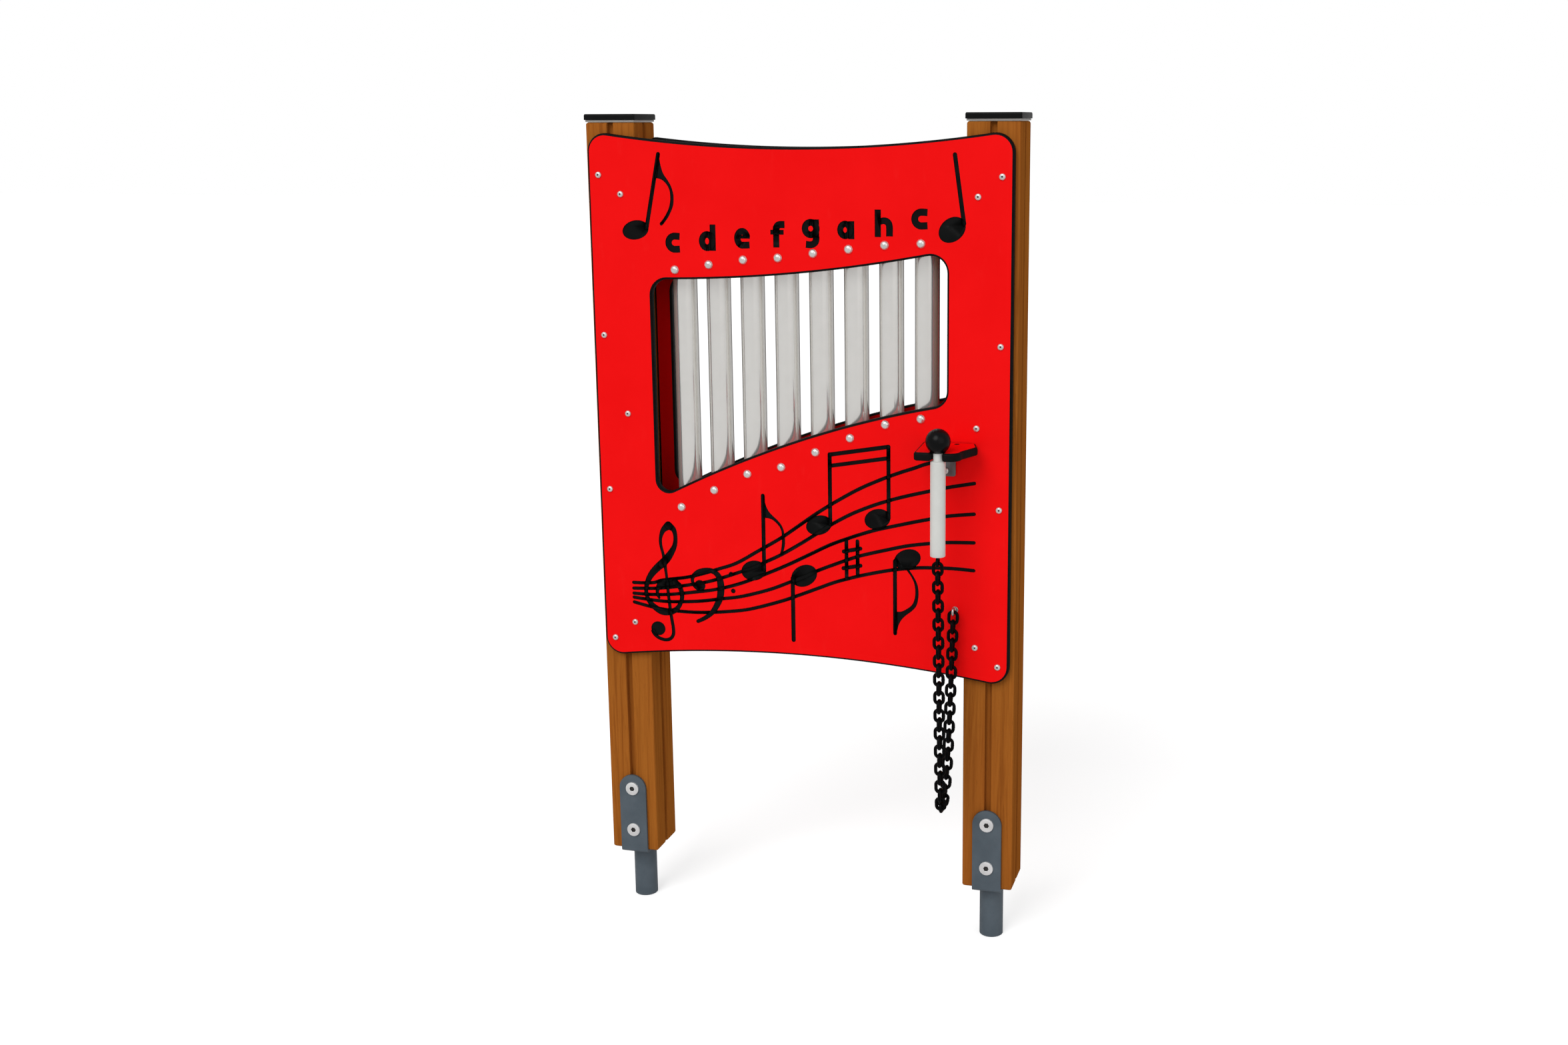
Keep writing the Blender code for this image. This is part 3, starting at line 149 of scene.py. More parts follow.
CHAIN_OPEN_SHIFT = 0.0034
CHAIN_OPEN_LIFT = 0.0016
SEAT_GAP = 0.0003
EYE_CLEARANCE = 0.0004

POST_X = POST_SPACING / 2
POST_FRONT_Y = -POST_WIDTH / 2
PANEL_FACE_Y = POST_FRONT_Y - SHEET_THICKNESS
FRONT_PANEL_Y = POST_FRONT_Y - SHEET_THICKNESS / 2
CHIME_Y = POST_FRONT_Y + PANEL_GAP / 2
BACK_PANEL_FRONT_Y = POST_FRONT_Y + PANEL_GAP
BACK_PANEL_Y = BACK_PANEL_FRONT_Y + SHEET_THICKNESS / 2
BACK_PANEL_REAR_Y = BACK_PANEL_FRONT_Y + SHEET_THICKNESS
STRAP_BOTTOM_Z = POST_BOTTOM_Z - SEAT_GAP - STRAP_THICKNESS
MALLET_Y = PANEL_FACE_Y - MALLET_FROM_PANEL
GRIP_TOP_Z = SHELF_TOP_Z - SHEET_THICKNESS - GRIP_SHOULDER_GAP
MALLET_EYE_Z = GRIP_TOP_Z - GRIP_LENGTH - MALLET_EYE_DROP

# Sizes of the finished look only: the chain and the front window are a little larger than
# the CAD's, and the windows' low corner is tighter
CHAIN_WIRE_RADIUS = 0.0032
CHAIN_LINK_WIDTH = 0.0220
# heights along a link and the weld's radius there
CHAIN_WELD = ((-0.0016, 0.0028), (-0.0008, 0.0034), (0, 0.0036), (0.0008, 0.0034),
              (0.0016, 0.0028))
# head radius and height, socket radius and depth, shank radius and length
PANEL_SCREW = (0.0058, 0.0035, 0.0017, 0.0012, 0.003, 0.045)
REST_SCREW = (0.0045, 0.002, 0.0019, 0.0014, 0.002, 0.012)
BRACKET_SCREW = (0.0065, 0.0035, 0.0023, 0.0019, 0.003, 0.018)
WINDOW_GROWTH = 0.0015
WINDOW_LOW_CORNER_SAVING = 0.008
ENGRAVING_DEPTH = 0.0014
# each figure is cut a little deeper than the one before, so that no two floors coincide
ENGRAVING_STEP = 0.000004
# added to the width of every engraved stroke, in millimetres
PEN_GAIN = 1.4
STAFF_LINE_WIDTH = 5.4

# Mesh settings
MERGE_DISTANCE = 0.00001
FLAT_FACE = 0.999
BEVEL_ANGLE = math.radians(50)
SHARP_ANGLE = math.radians(32)
TO_PLAYER = Matrix.Rotation(math.pi / 2, 4, "X")

# Light
WHITE = (1, 1, 1, 1)
WORLD_LEVEL = 0.52
FLOOR_GLOW = 0.52
FLOOR_GREY = 0.7
LAMP_TARGET = Vector((0, 0, 0.9))


# Camera

def place_camera():
    camera = bpy.data.objects.new("camera", bpy.data.cameras.new("camera"))
    bpy.context.scene.collection.objects.link(camera)
    bpy.context.scene.camera = camera
    ahead = Vector((math.sin(CAMERA_YAW) * math.cos(CAMERA_PITCH),
                    math.cos(CAMERA_YAW) * math.cos(CAMERA_PITCH), math.sin(CAMERA_PITCH)))
    right = ahead.cross(Vector((0, 0, 1))).normalized()
    up = right.cross(ahead)
    turned_right = right * math.cos(CAMERA_ROLL) + up * math.sin(CAMERA_ROLL)
    turned_up = up * math.cos(CAMERA_ROLL) - right * math.sin(CAMERA_ROLL)
    axes = Matrix((turned_right, turned_up, -ahead)).transposed().to_4x4()
    camera.matrix_world = Matrix.Translation(CAMERA_PLACE) @ axes
    camera.data.lens = CAMERA_LENS
    camera.data.sensor_fit = "HORIZONTAL"
    camera.data.sensor_width = 36
    camera.data.shift_x, camera.data.shift_y = CAMERA_SHIFT
    camera.data.clip_end = 60


place_camera()


# Node helpers

def srgb(red, green, blue):
    """A colour read from a picture, as the linear value that a shader takes."""
    def linear(value):
        value /= 255
        return value / 12.92 if value <= 0.04045 else ((value + 0.055) / 1.055) ** 2.4
    return (linear(red), linear(green), linear(blue), 1)


def node(tree, kind, inputs=None, **settings):
    """Add a node; an input takes a value or another node's output."""
    made = tree.nodes.new(kind)
    for key, value in settings.items():
        setattr(made, key, value)
    for key, value in (inputs or {}).items():
        if isinstance(value, bpy.types.NodeSocket):
            tree.links.new(value, made.inputs[key])
        else:
            made.inputs[key].default_value = value
    return made


def start_material(name, **values):
    """A Principled material, its tree and its shader, with plain values on the shader."""
    made = bpy.data.materials.new(name)
    made.use_nodes = True
    shader = made.node_tree.nodes["Principled BSDF"]
    for key, value in values.items():
        shader.inputs[key.replace("_", " ")].default_value = value
    return made, made.node_tree, shader


def place(tree, scale=(1, 1, 1)):
    """Coordinates in the piece's own metres, scaled along each axis."""
    coords = node(tree, "ShaderNodeTexCoord").outputs["Object"]
    return node(tree, "ShaderNodeMapping", {"Vector": coords, "Scale": scale}).outputs[0]


def noise(tree, vector, scale, detail=3.0, roughness=0.55, distortion=0.0):
    return node(tree, "ShaderNodeTexNoise",
                {"Vector": vector, "Scale": scale, "Detail": detail, "Roughness": roughness,
                 "Distortion": distortion}).outputs[0]


def ramp(tree, factor, stops):
    made = node(tree, "ShaderNodeValToRGB", {"Fac": factor})
    elements = made.color_ramp.elements
    while len(elements) < len(stops):
        elements.new(0.5)
    for element, (position, colour) in zip(elements, stops):
        element.position = position
        element.color = colour
    return made.outputs[0]


def spread(tree, factor, low, high, start=0.3, end=0.7):
    """Turn a 0 to 1 pattern into a range of values."""
    return node(tree, "ShaderNodeMapRange",
                {"Value": factor, "From Min": start, "From Max": end, "To Min": low,
                 "To Max": high}).outputs[0]


def blend(tree, factor, first, second):
    made = node(tree, "ShaderNodeMix", data_type="RGBA")
    for index, value in ((0, factor), (6, first), (7, second)):
        if isinstance(value, bpy.types.NodeSocket):
            tree.links.new(value, made.inputs[index])
        else:
            made.inputs[index].default_value = value
    return made.outputs[2]


def bump(tree, height, distance, strength=1.0, below=None):
    inputs = {"Height": height, "Distance": distance, "Strength": strength}
    if below is not None:
        inputs["Normal"] = below
    return node(tree, "ShaderNodeBump", inputs).outputs[0]


def connect(tree, shader, **sockets):
    for key, value in sockets.items():
        tree.links.new(value, shader.inputs[key.replace("_", " ")])


# Materials

def sheet_red(name, low, high, specular=0.06):
    """Coloured polyethylene: a fine orange-peel face, faint clouds and a few dull scuffs."""
    made, tree, shader = start_material(name, Specular_IOR_Level=specular)
    where = place(tree)
    clouds = noise(tree, where, 9, 4)
    scuffs = noise(tree, place(tree, (1, 1, 0.25)), 60, 5, 0.7)
    peel = noise(tree, where, 900, 2)
    grain = noise(tree, where, 2600, 1)
    colour = ramp(tree, clouds, [(0.3, low), (0.7, high)])
    colour = blend(tree, spread(tree, scuffs, 0.0, 0.07, 0.6, 0.8), colour, srgb(250, 70, 64))
    rough = spread(tree, clouds, 0.42, 0.56)
    normal = bump(tree, grain, 0.00002, 0.5, bump(tree, peel, 0.00008, 0.6))
    connect(tree, shader, Base_Color=colour, Roughness=rough, Normal=normal)
    return made


def sheet_core(name):
    """The sheet's black core, as a milling cutter leaves it."""
    made, tree, shader = start_material(name, Specular_IOR_Level=0.05)
    where = place(tree)
    tool = noise(tree, where, 420, 3)
    clouds = noise(tree, where, 35, 3)
    colour = ramp(tree, clouds, [(0.3, srgb(11, 12, 12)), (0.7, srgb(18, 19, 19))])
    rough = spread(tree, tool, 0.42, 0.62)
    connect(tree, shader, Base_Color=colour, Roughness=rough, Normal=bump(tree, tool, 0.00012, 0.6))
    return made


def timber():
    """Oiled pine: long growth-ring streaks, fine fibres and darker pores along the post."""
    made, tree, shader = start_material("oiled_timber", Specular_IOR_Level=0.0)
    wander = noise(tree, place(tree, (3, 3, 0.9)), 1.6, 3)
    rings = noise(tree, place(tree, (1, 1, 0.035)), 75, 3, 0.6, 1.1)
    fibres = noise(tree, place(tree, (1, 1, 0.018)), 520, 4, 0.7)
    pores = noise(tree, place(tree, (1, 1, 0.05)), 900, 2, 0.6)
    colour = ramp(tree, rings, [(0.32, srgb(136, 77, 27)), (0.44, srgb(156, 92, 34)),
                                (0.54, srgb(166, 100, 38)), (0.66, srgb(150, 86, 31)),
                                (0.78, srgb(132, 74, 26))])
    colour = blend(tree, spread(tree, fibres, 0.0, 0.4), colour, srgb(138, 77, 26))
    colour = blend(tree, spread(tree, wander, 0.0, 0.4, 0.4, 0.75), colour, srgb(150, 79, 30))
    colour = blend(tree, spread(tree, pores, 0.0, 0.6, 0.62, 0.8), colour, srgb(98, 54, 20))
    rough = spread(tree, fibres, 0.5, 0.66)
    normal = bump(tree, fibres, 0.0003, 0.5, bump(tree, rings, 0.0006, 0.35))
    connect(tree, shader, Base_Color=colour, Roughness=rough, Normal=normal)
    return made


def painted_steel():
    """Blue-grey coated steel with an even hammer texture and rubbed spots."""
    made, tree, shader = start_material("blue_grey_steel", Specular_IOR_Level=0.25)
    where = place(tree)
    clouds = noise(tree, where, 22, 4)
    spots = noise(tree, where, 210, 4, 0.7)
    colour = ramp(tree, clouds, [(0.3, srgb(72, 82, 90)), (0.7, srgb(84, 94, 102))])
    colour = blend(tree, spread(tree, spots, 0.0, 0.6, 0.62, 0.8), colour, srgb(60, 68, 76))
    rough = spread(tree, spots, 0.36, 0.58)
    connect(tree, shader, Base_Color=colour, Roughness=rough, Normal=bump(tree, spots, 0.0002, 0.4))
    return made


def metal(name, light, dark, low, high, metallic=1.0, brushed=(1, 1, 1), scale=300,
          depth=0.00004, edge=1.0):
    """A metal with brush or roll marks along the axis where the brushing scale is small."""
    made, tree, shader = start_material(name, Metallic=metallic,
                                        Specular_Tint=(edge, edge, edge, 1))
    marks = noise(tree, place(tree, brushed), scale, 5, 0.65)
    clouds = noise(tree, place(tree), 45, 3)
    colour = ramp(tree, clouds, [(0.3, dark), (0.7, light)])
    rough = spread(tree, marks, low, high)
    connect(tree, shader, Base_Color=colour, Roughness=rough, Normal=bump(tree, marks, depth, 0.6))
    return made


def moulded(name, light, dark, low, high, specular=0.5, scale=500):
    """Moulded plastic or rubber: a fine skin and faint clouds."""
    made, tree, shader = start_material(name, Specular_IOR_Level=specular)
    skin = noise(tree, place(tree), scale, 3)
    clouds = noise(tree, place(tree), 30, 4)
    colour = ramp(tree, clouds, [(0.3, dark), (0.7, light)])
    rough = spread(tree, skin, low, high)
    normal = bump(tree, skin, 0.00006, 0.5)
    connect(tree, shader, Base_Color=colour, Roughness=rough, Normal=normal)
    return made


RED_FRONT = sheet_red("red_front_sheet", srgb(240, 8, 10), srgb(245, 11, 13))
# The back sheet's red is set darker than the front's as painted shade, for the shade it lies in
# behind the front sheet; the sheet itself is the same red as the front.
SHADED_RED_BACK = sheet_red("red_back_sheet_painted_shade", srgb(184, 5, 7), srgb(190, 6, 8), specular=0.02)
RED_SHELF = sheet_red("red_shelf_sheet", srgb(236, 8, 10), srgb(241, 11, 13),
                      specular=0.02)
CORE = sheet_core("black_core")
TIMBER = timber()
ANCHOR_STEEL = painted_steel()
PALE_ZINC = metal("pale_zinc", srgb(236, 236, 236), srgb(214, 214, 214), 0.34, 0.5,
                  metallic=0.55)
CHIME_METAL = metal("satin_aluminium", srgb(243, 241, 237), srgb(239, 237, 233), 0.13, 0.19,
                    metallic=0.76, brushed=(1, 1, 0.01), scale=900, depth=0.00003, edge=0.0)
SCREW_METAL = metal("screw_steel", srgb(226, 220, 218), srgb(206, 200, 198), 0.3, 0.42,
                    metallic=0.7)
BOLT_METAL = metal("dome_steel", srgb(236, 234, 231), srgb(220, 218, 215), 0.18, 0.3,
                   metallic=0.8)
BRACKET_METAL = metal("bracket_steel", srgb(120, 121, 122), srgb(98, 99, 100), 0.26, 0.42,
                      brushed=(1, 1, 0.08))
EYE_METAL = metal("eye_steel", srgb(214, 214, 212), srgb(180, 180, 178), 0.22, 0.36)
DARK_METAL = metal("dark_screw", srgb(60, 60, 62), srgb(36, 36, 38), 0.3, 0.45)
CAP_PLASTIC = moulded("black_cap", srgb(18, 19, 19), srgb(12, 13, 13), 0.3, 0.45, specular=0.08)
CAP_LIP = moulded("grey_cap_lip", srgb(160, 156, 152), srgb(146, 142, 138), 0.4, 0.55)
RUBBER = moulded("black_rubber", srgb(9, 9, 10), srgb(6, 6, 7), 0.26, 0.34, specular=0.12)
HANDLE_PLASTIC = moulded("pale_handle", srgb(213, 214, 210), srgb(205, 206, 202), 0.42, 0.56,
                         specular=0.25)
CHAIN_COAT = moulded("black_chain_coat", srgb(7, 7, 8), srgb(4, 4, 5), 0.26, 0.42,
                     specular=0.05, scale=700)
SOCKET_DARK = moulded("socket_shadow", srgb(62, 61, 60), srgb(48, 47, 46), 0.5, 0.7,
                      specular=0.1)


# Mesh helpers

def mesh_of(name, shape):
    mesh = bpy.data.meshes.new(name)
    bmesh.ops.recalc_face_normals(shape, faces=shape.faces)
    shape.to_mesh(mesh)
    shape.free()
    return mesh


def smooth_shade(mesh):
    mesh.shade_smooth()
    mesh.set_sharp_from_angle(angle=SHARP_ANGLE)


def piece(name, mesh, finish, stands_for=(), body="frame"):
    """Link a piece, shade it, tie it to its CAD body and hide the CAD nodes that it stands for."""
    if isinstance(mesh, bmesh.types.BMesh):
        mesh = mesh_of(name, mesh)
    made = bpy.data.objects.new(name, mesh)
    bpy.context.scene.collection.objects.link(made)
    if isinstance(finish, tuple):
        for material in finish:
            mesh.materials.append(material)
    elif finish:
        mesh.materials.clear()
        mesh.materials.append(finish)
    smooth_shade(mesh)
    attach(made, body)
    for name_of_node in stands_for:
        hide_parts(name_of_node)
    return made


def baked(holder):
    """The mesh of an object with its modifiers applied; the object goes."""
    bpy.context.view_layer.update()
    evaluated = holder.evaluated_get(bpy.context.evaluated_depsgraph_get())
    mesh = bpy.data.meshes.new_from_object(evaluated)
    mesh.transform(holder.matrix_world)
    bpy.data.objects.remove(holder, do_unlink=True)
    return mesh


def holder_of(mesh):
    made = bpy.data.objects.new(mesh.name, mesh)
    bpy.context.scene.collection.objects.link(made)
    return made


def boolean(mesh, other, operation="DIFFERENCE", self_overlap=False):
    """Combine two meshes exactly; new faces keep the materials that they came with."""
    holder = holder_of(mesh)
    tool = holder_of(other)
    step = holder.modifiers.new("cut", "BOOLEAN")
    step.operation = operation
    step.object = tool
    step.solver = "EXACT"
    step.material_mode = "TRANSFER"
    step.use_self = self_overlap
    result = baked(holder)
    bpy.data.objects.remove(tool, do_unlink=True)
    return result


def bevelled(mesh, width):
    holder = holder_of(mesh)
    step = holder.modifiers.new("edge", "BEVEL")
    step.width = width
    step.segments = 2
    step.angle_limit = BEVEL_ANGLE
    return baked(holder)


def plate(name, outlines, thickness, edge_round=0.0):
    """A flat sheet in the XY plane, centred on it; its rounded edge grows outward."""
    curve = bpy.data.curves.new(name, "CURVE")
    curve.dimensions = "2D"
    curve.fill_mode = "BOTH"
    curve.extrude = thickness / 2 - edge_round
    curve.bevel_depth = edge_round
    curve.bevel_resolution = 5
    for outline in outlines:
        spline = curve.splines.new("POLY")
        spline.points.add(len(outline) - 1)
        spline.use_cyclic_u = True
        for point, (across, up) in zip(spline.points, outline):
            point.co = (across, up, 0, 1)
    mesh = baked(holder_of(curve))
    shape = bmesh.new()
    shape.from_mesh(mesh)
    bmesh.ops.remove_doubles(shape, verts=shape.verts, dist=MERGE_DISTANCE)
    return mesh_of(name, shape)


def tube_along(shape, points, radius, steps=12, cyclic=False):
    """A round wire along a path, with a frame that doesn't twist."""
    count = len(points)
    rings = []
    normal = None
    for index, point in enumerate(points):
        ahead = points[(index + 1) % count] if cyclic or index + 1 < count else point
        behind = points[index - 1] if cyclic or index > 0 else point
        tangent = (Vector(ahead) - Vector(behind)).normalized()
        if normal is None:
            guide = Vector((1, 0, 0)) if abs(tangent.x) < 0.9 else Vector((0, 1, 0))
            normal = tangent.cross(guide).normalized()
        normal = (normal - tangent * normal.dot(tangent)).normalized()
        other = tangent.cross(normal)
        size = radius[index] if isinstance(radius, (list, tuple)) else radius
        rings.append([shape.verts.new(Vector(point) + size * (
            normal * math.cos(2 * math.pi * step / steps)
            + other * math.sin(2 * math.pi * step / steps))) for step in range(steps)])
    pairs = list(zip(rings, rings[1:])) + ([(rings[-1], rings[0])] if cyclic else [])
    for first, second in pairs:
        for step in range(steps):
            after = (step + 1) % steps
            shape.faces.new((first[step], first[after], second[after], second[step]))
    if not cyclic:
        shape.faces.new(rings[0])
        shape.faces.new(rings[-1])


def rim(step, steps, radius, kind):
    """A point on a ring: round, six-sided or six-lobed."""
    angle = 2 * math.pi * step / steps
    if kind == "hex":
        inner = math.pi / 3
        local = (angle % inner) - inner / 2
        radius = radius * math.cos(inner / 2) / math.cos(local)
    elif kind == "lobed":
        radius = radius * (1 - 0.13 * (1 - math.cos(6 * angle)) / 2)
    return radius * math.cos(angle), radius * math.sin(angle)


def turned(profile, centre, steps=48, facing="player", dark_from=None, shape=None):
    """A turned solid. Its profile gives (radius, height[, rim kind]) from its top down."""
    shape = shape or bmesh.new()
    rings = []
    for row in profile:
        radius, height = row[0], row[1]
        kind = row[2] if len(row) > 2 else "round"
        ring = []
        for step in range(steps if radius else 1):
            local = Vector((*rim(step, steps, radius, kind), height))
            if facing == "player":
                local = TO_PLAYER @ local
            ring.append(shape.verts.new(Vector(centre) + local))
        rings.append(ring)
    for number, (first, second) in enumerate(zip(rings, rings[1:])):
        for step in range(steps):
            after = (step + 1) % steps
            if len(first) == 1:
                corners = (first[0], second[step], second[after])
            elif len(second) == 1:
                corners = (first[step], second[0], first[after])
            else:
                corners = (first[step], second[step], second[after], first[after])
            face = shape.faces.new(corners)
            if dark_from is not None and number < dark_from:
                face.material_index = 1
    return shape


def arc(centre_x, centre_y, radius_x, radius_y, start, end, steps):
    """Points on an ellipse between two angles in degrees."""
    return [(centre_x + radius_x * math.cos(math.radians(start + (end - start) * step / steps)),
             centre_y + radius_y * math.sin(math.radians(start + (end - start) * step / steps)))
            for step in range(steps + 1)]


# Outline helpers

def corner_arc(before, corner, after, radius, steps):
    if not radius:
        return [corner]
    corner = Vector(corner)
    to_before = (Vector(before) - corner).normalized()
    to_after = (Vector(after) - corner).normalized()
    half_angle = to_before.angle(to_after) / 2
    centre = corner + (to_before + to_after).normalized() * (radius / math.sin(half_angle))
    start = corner + to_before * (radius / math.tan(half_angle)) - centre
    end = corner + to_after * (radius / math.tan(half_angle)) - centre
    sweep = start.angle_signed(end)
    return [tuple(centre + Matrix.Rotation(-sweep * step / steps, 2) @ start)
            for step in range(steps + 1)]


def rounded_outline(corners, bows, radii):
    """A closed outline with bowed sides and rounded corners."""
    side_steps = 32
    arc_steps = 10
    count = len(corners)
    sides = []
    for i in range(count):
        start, end = corners[i], corners[(i + 1) % count]
        side = []
        for step in range(1, side_steps):
            share = step / side_steps
            side.append((start[0] + (end[0] - start[0]) * share,
                         start[1] + (end[1] - start[1]) * share
                         + bows[i] * 4 * share * (1 - share)))
        sides.append(side if bows[i] else [])
    neighbours, reaches = [], []
    for i in range(count):
        before = sides[i - 1][-2] if sides[i - 1] else corners[i - 1]
        after = sides[i][1] if sides[i] else corners[(i + 1) % count]
        angle = (Vector(before) - Vector(corners[i])).angle(Vector(after) - Vector(corners[i]))
        neighbours.append((before, after))
        reaches.append(radii[i] / math.tan(angle / 2) * 1.04)
    outline = []
    for i in range(count):
        before, after = neighbours[i]
        outline += corner_arc(before, corners[i], after, radii[i], arc_steps)
        next_corner = corners[(i + 1) % count]
        outline += [point for point in sides[i]
                    if math.dist(point, corners[i]) > reaches[i]
                    and math.dist(point, next_corner) > reaches[(i + 1) % count]]
    return outline


def panel_outline(half_width, corner_radius):
    half_width -= SHEET_EDGE_ROUND
    full_half_width = PANEL_WIDTH / 2 - SHEET_EDGE_ROUND
    sag = PANEL_EDGE_SAG * (half_width / full_half_width) ** 2
    half_height = PANEL_MID_HEIGHT / 2 - SHEET_EDGE_ROUND + sag
    top = PANEL_CENTRE_Z + half_height
    bottom = PANEL_CENTRE_Z - half_height
    corners = [(-half_width, bottom), (half_width, bottom), (half_width, top), (-half_width, top)]
    radii = [corner_radius - SHEET_EDGE_ROUND] * 4
    return rounded_outline(corners, [sag, 0, -sag, 0], radii)


def window_outline(narrowing=0.0, growth=0.0):
    half_width = WINDOW_WIDTH / 2 + SHEET_EDGE_ROUND - narrowing + growth
    corners = [(-half_width, WINDOW_BOTTOM_LEFT_Z - growth),
               (half_width, WINDOW_BOTTOM_RIGHT_Z - growth),
               (half_width, WINDOW_TOP_RIGHT_Z + growth),
               (-half_width, WINDOW_TOP_LEFT_Z + growth)]
    radii = [WINDOW_CORNER_RADIUS + SHEET_EDGE_ROUND] * 4
    radii[0] -= WINDOW_LOW_CORNER_SAVING
    return rounded_outline(corners, [WINDOW_BOTTOM_RISE, 0, -WINDOW_TOP_SAG, 0], radii)


# Engraved figures: common notes, staff lines, clefs and the names of the notes, in
# millimetres across the panel and above the ground

def smooth(points, samples=6):
    """A curve through the points."""
    if len(points) < 3:
        return [tuple(point) for point in points]
    path = []
    for i in range(len(points) - 1):
        p0 = points[max(i - 1, 0)]
        p1, p2 = points[i], points[i + 1]
        p3 = points[min(i + 2, len(points) - 1)]
        for step in range(samples):
            t = step / samples
            path.append(tuple(0.5 * (2 * b + (c - a) * t + (2 * a - 5 * b + 4 * c - d) * t * t
                                     + (3 * b - a - 3 * c + d) * t ** 3)
                              for a, b, c, d in zip(p0, p1, p2, p3)))
    path.append(tuple(points[-1]))
    return path


def stroke(points, width, samples=6, round_ends=True):
    """The outline of a line of even or changing width along a smooth curve."""
    widths = width if isinstance(width, list) else [width] * len(points)
    path = smooth([(*point, size) for point, size in zip(points, widths)], samples)
    left, right = [], []
    for index, (x, z, size) in enumerate(path):
        ahead = path[min(index + 1, len(path) - 1)]
        behind = path[max(index - 1, 0)]
        along = Vector((ahead[0] - behind[0], ahead[1] - behind[1])).normalized()
        side = Vector((-along.y, along.x)) * ((size + PEN_GAIN) / 2)
        left.append((x + side.x, z + side.y))
        right.append((x - side.x, z - side.y))

    def cap(end, start):
        centre = Vector(end[:2])
        reach = Vector(start) - centre
        return [tuple(centre + Matrix.Rotation(-math.pi * step / 8, 2) @ reach)
                for step in range(1, 8)] if round_ends else []

    return left + cap(path[-1], left[-1]) + right[::-1] + cap(path[0], right[0])


def line(start, end, width):
    return stroke([start, end], width, 2)


def blunt(points, width, samples=6):
    return stroke(points, width, samples, False)


def band(outer, inner):
    return smooth(outer) + smooth(inner)[::-1]


def ellipse(x, z, across, up, tilt=0.0):
    tilt = math.radians(tilt)
    points = arc(0, 0, across, up, 0, 360, 40)[:-1]
    return [(x + px * math.cos(tilt) - pz * math.sin(tilt),
             z + px * math.sin(tilt) + pz * math.cos(tilt)) for px, pz in points]


def bar(left, bottom, right, top):
    return [(left, bottom), (right, bottom), (right, top), (left, top)]


def staff_lines():
    rows = [
        [(-335, 668.4), (-315, 669), (-293, 671), (-279, 676), (-259, 680), (-225, 686),
            (-190, 696), (-165, 705), (-125, 720), (-80, 747), (-36, 774), (0, 800), (30, 822),
            (60, 842), (95, 863.5), (120, 877.5), (145, 889.5), (170, 900.5), (195, 910.5),
            (220, 919.5), (245, 929), (290, 941), (331, 952)],
        [(-335, 657), (-293, 659.5), (-259, 664), (-225, 670.4), (-185, 679.5), (-153, 690),
            (-120, 702.5), (-90, 714), (-67, 726), (-36, 742), (0, 764), (32, 785), (60, 804),
            (95, 824.5), (120, 836.5), (145, 847), (170, 856), (195, 864), (220, 871),
            (245, 877.5), (282, 887), (331, 897)],
        [(-335, 647), (-300, 647), (-259, 650), (-215, 657), (-167, 666), (-115, 682), (-60, 706),
            (-20, 725), (20, 746), (60, 767), (95, 781.5), (120, 791), (145, 799.5), (170, 806.5),
            (195, 813), (220, 819.5), (245, 825.5), (282, 834), (331, 840.5)],
        [(-335, 639), (-295, 636), (-259, 635.5), (-205, 640), (-155, 648.5), (-115, 656),
            (-60, 673), (-20, 690), (10, 703), (34, 715.5), (70, 731), (107, 746), (132, 754),
            (170, 764.5), (207, 774), (245, 780.5), (282, 785), (331, 787.5)],
        [(-335, 629.5), (-300, 622.5), (-265, 618.5), (-225, 617.5), (-185, 619.5), (-145, 624),
            (-100, 632), (-40, 651), (0, 667), (40, 684), (70, 696.5), (110, 709.5), (145, 719),
            (180, 727), (215, 732.5), (245, 735.3), (290, 736.8), (331, 735.5)],
    ]
    return [stroke(row, STAFF_LINE_WIDTH) for row in rows]


def treble_clef():
    return [
        # the stroke that falls from the loop's right side and sweeps round the outside
        stroke([(-260, 785), (-250, 778), (-246.5, 765), (-248, 748), (-255, 734), (-265, 720),
            (-276, 709)], [15, 9.5, 7, 8, 11, 14, 14]),
        stroke([(-272, 712), (-284, 702), (-297, 688), (-306, 672), (-309.6, 654), (-306, 637),
            (-295, 624), (-281, 615.5), (-268, 614), (-255, 617), (-245, 625), (-238, 638),
            (-236.3, 651), (-240, 665), (-249, 673.5)], [15, 13.5, 11.5, 9, 7, 8, 10, 12, 12, 10,
            8, 7, 8, 9, 13]),
        stroke([(-243, 669), (-257, 673.5), (-271, 672.5), (-281, 667), (-286.3, 657),
            (-286.3, 648), (-283.5, 642)], [12, 16, 15, 11, 6.5, 5, 4.5]),
        # the loop's left side and the stem down to the ball
        stroke([(-260, 785), (-271, 775), (-276.6, 760), (-276.4, 745), (-272.5, 729), (-270, 715),
            (-268.5, 700), (-266.5, 682), (-265, 660), (-263.2, 640), (-261, 618), (-258.6, 600),
            (-256.2, 584), (-256.4, 571), (-262, 562), (-272, 558.4), (-284, 560.6),
            (-293.5, 566.6), (-298, 574)], [15, 9, 5.5, 5, 4.8, 6.5, 5, 4.4, 5, 5.2, 5.4, 5.4, 5.6,
            5.6, 5.4, 5.4, 5.6, 6, 7]),
        ellipse(-287, 580.3, 14.6, 13.8),
    ]


def bass_clef():
    return [
        ellipse(-199.3, 671.5, 11, 10.8),
        stroke([(-205, 665), (-211.5, 671), (-214.3, 680), (-212.5, 688.5), (-203, 696.5),
            (-192, 700.5), (-180, 702.3), (-170, 700), (-161.5, 692.5), (-157.7, 680),
            (-157.2, 666), (-159.5, 650), (-166, 635), (-176, 620), (-190, 608.5), (-205, 600.5)],
            [5, 5.2, 5.4, 7, 9.5, 10, 9, 9, 10.5, 12.5, 13.2, 12, 10.4, 8.5, 7, 6]),
        ellipse(-135.8, 697.8, 4.8, 4.8), ellipse(-132.4, 665.4, 4.6, 4.6),
    ]


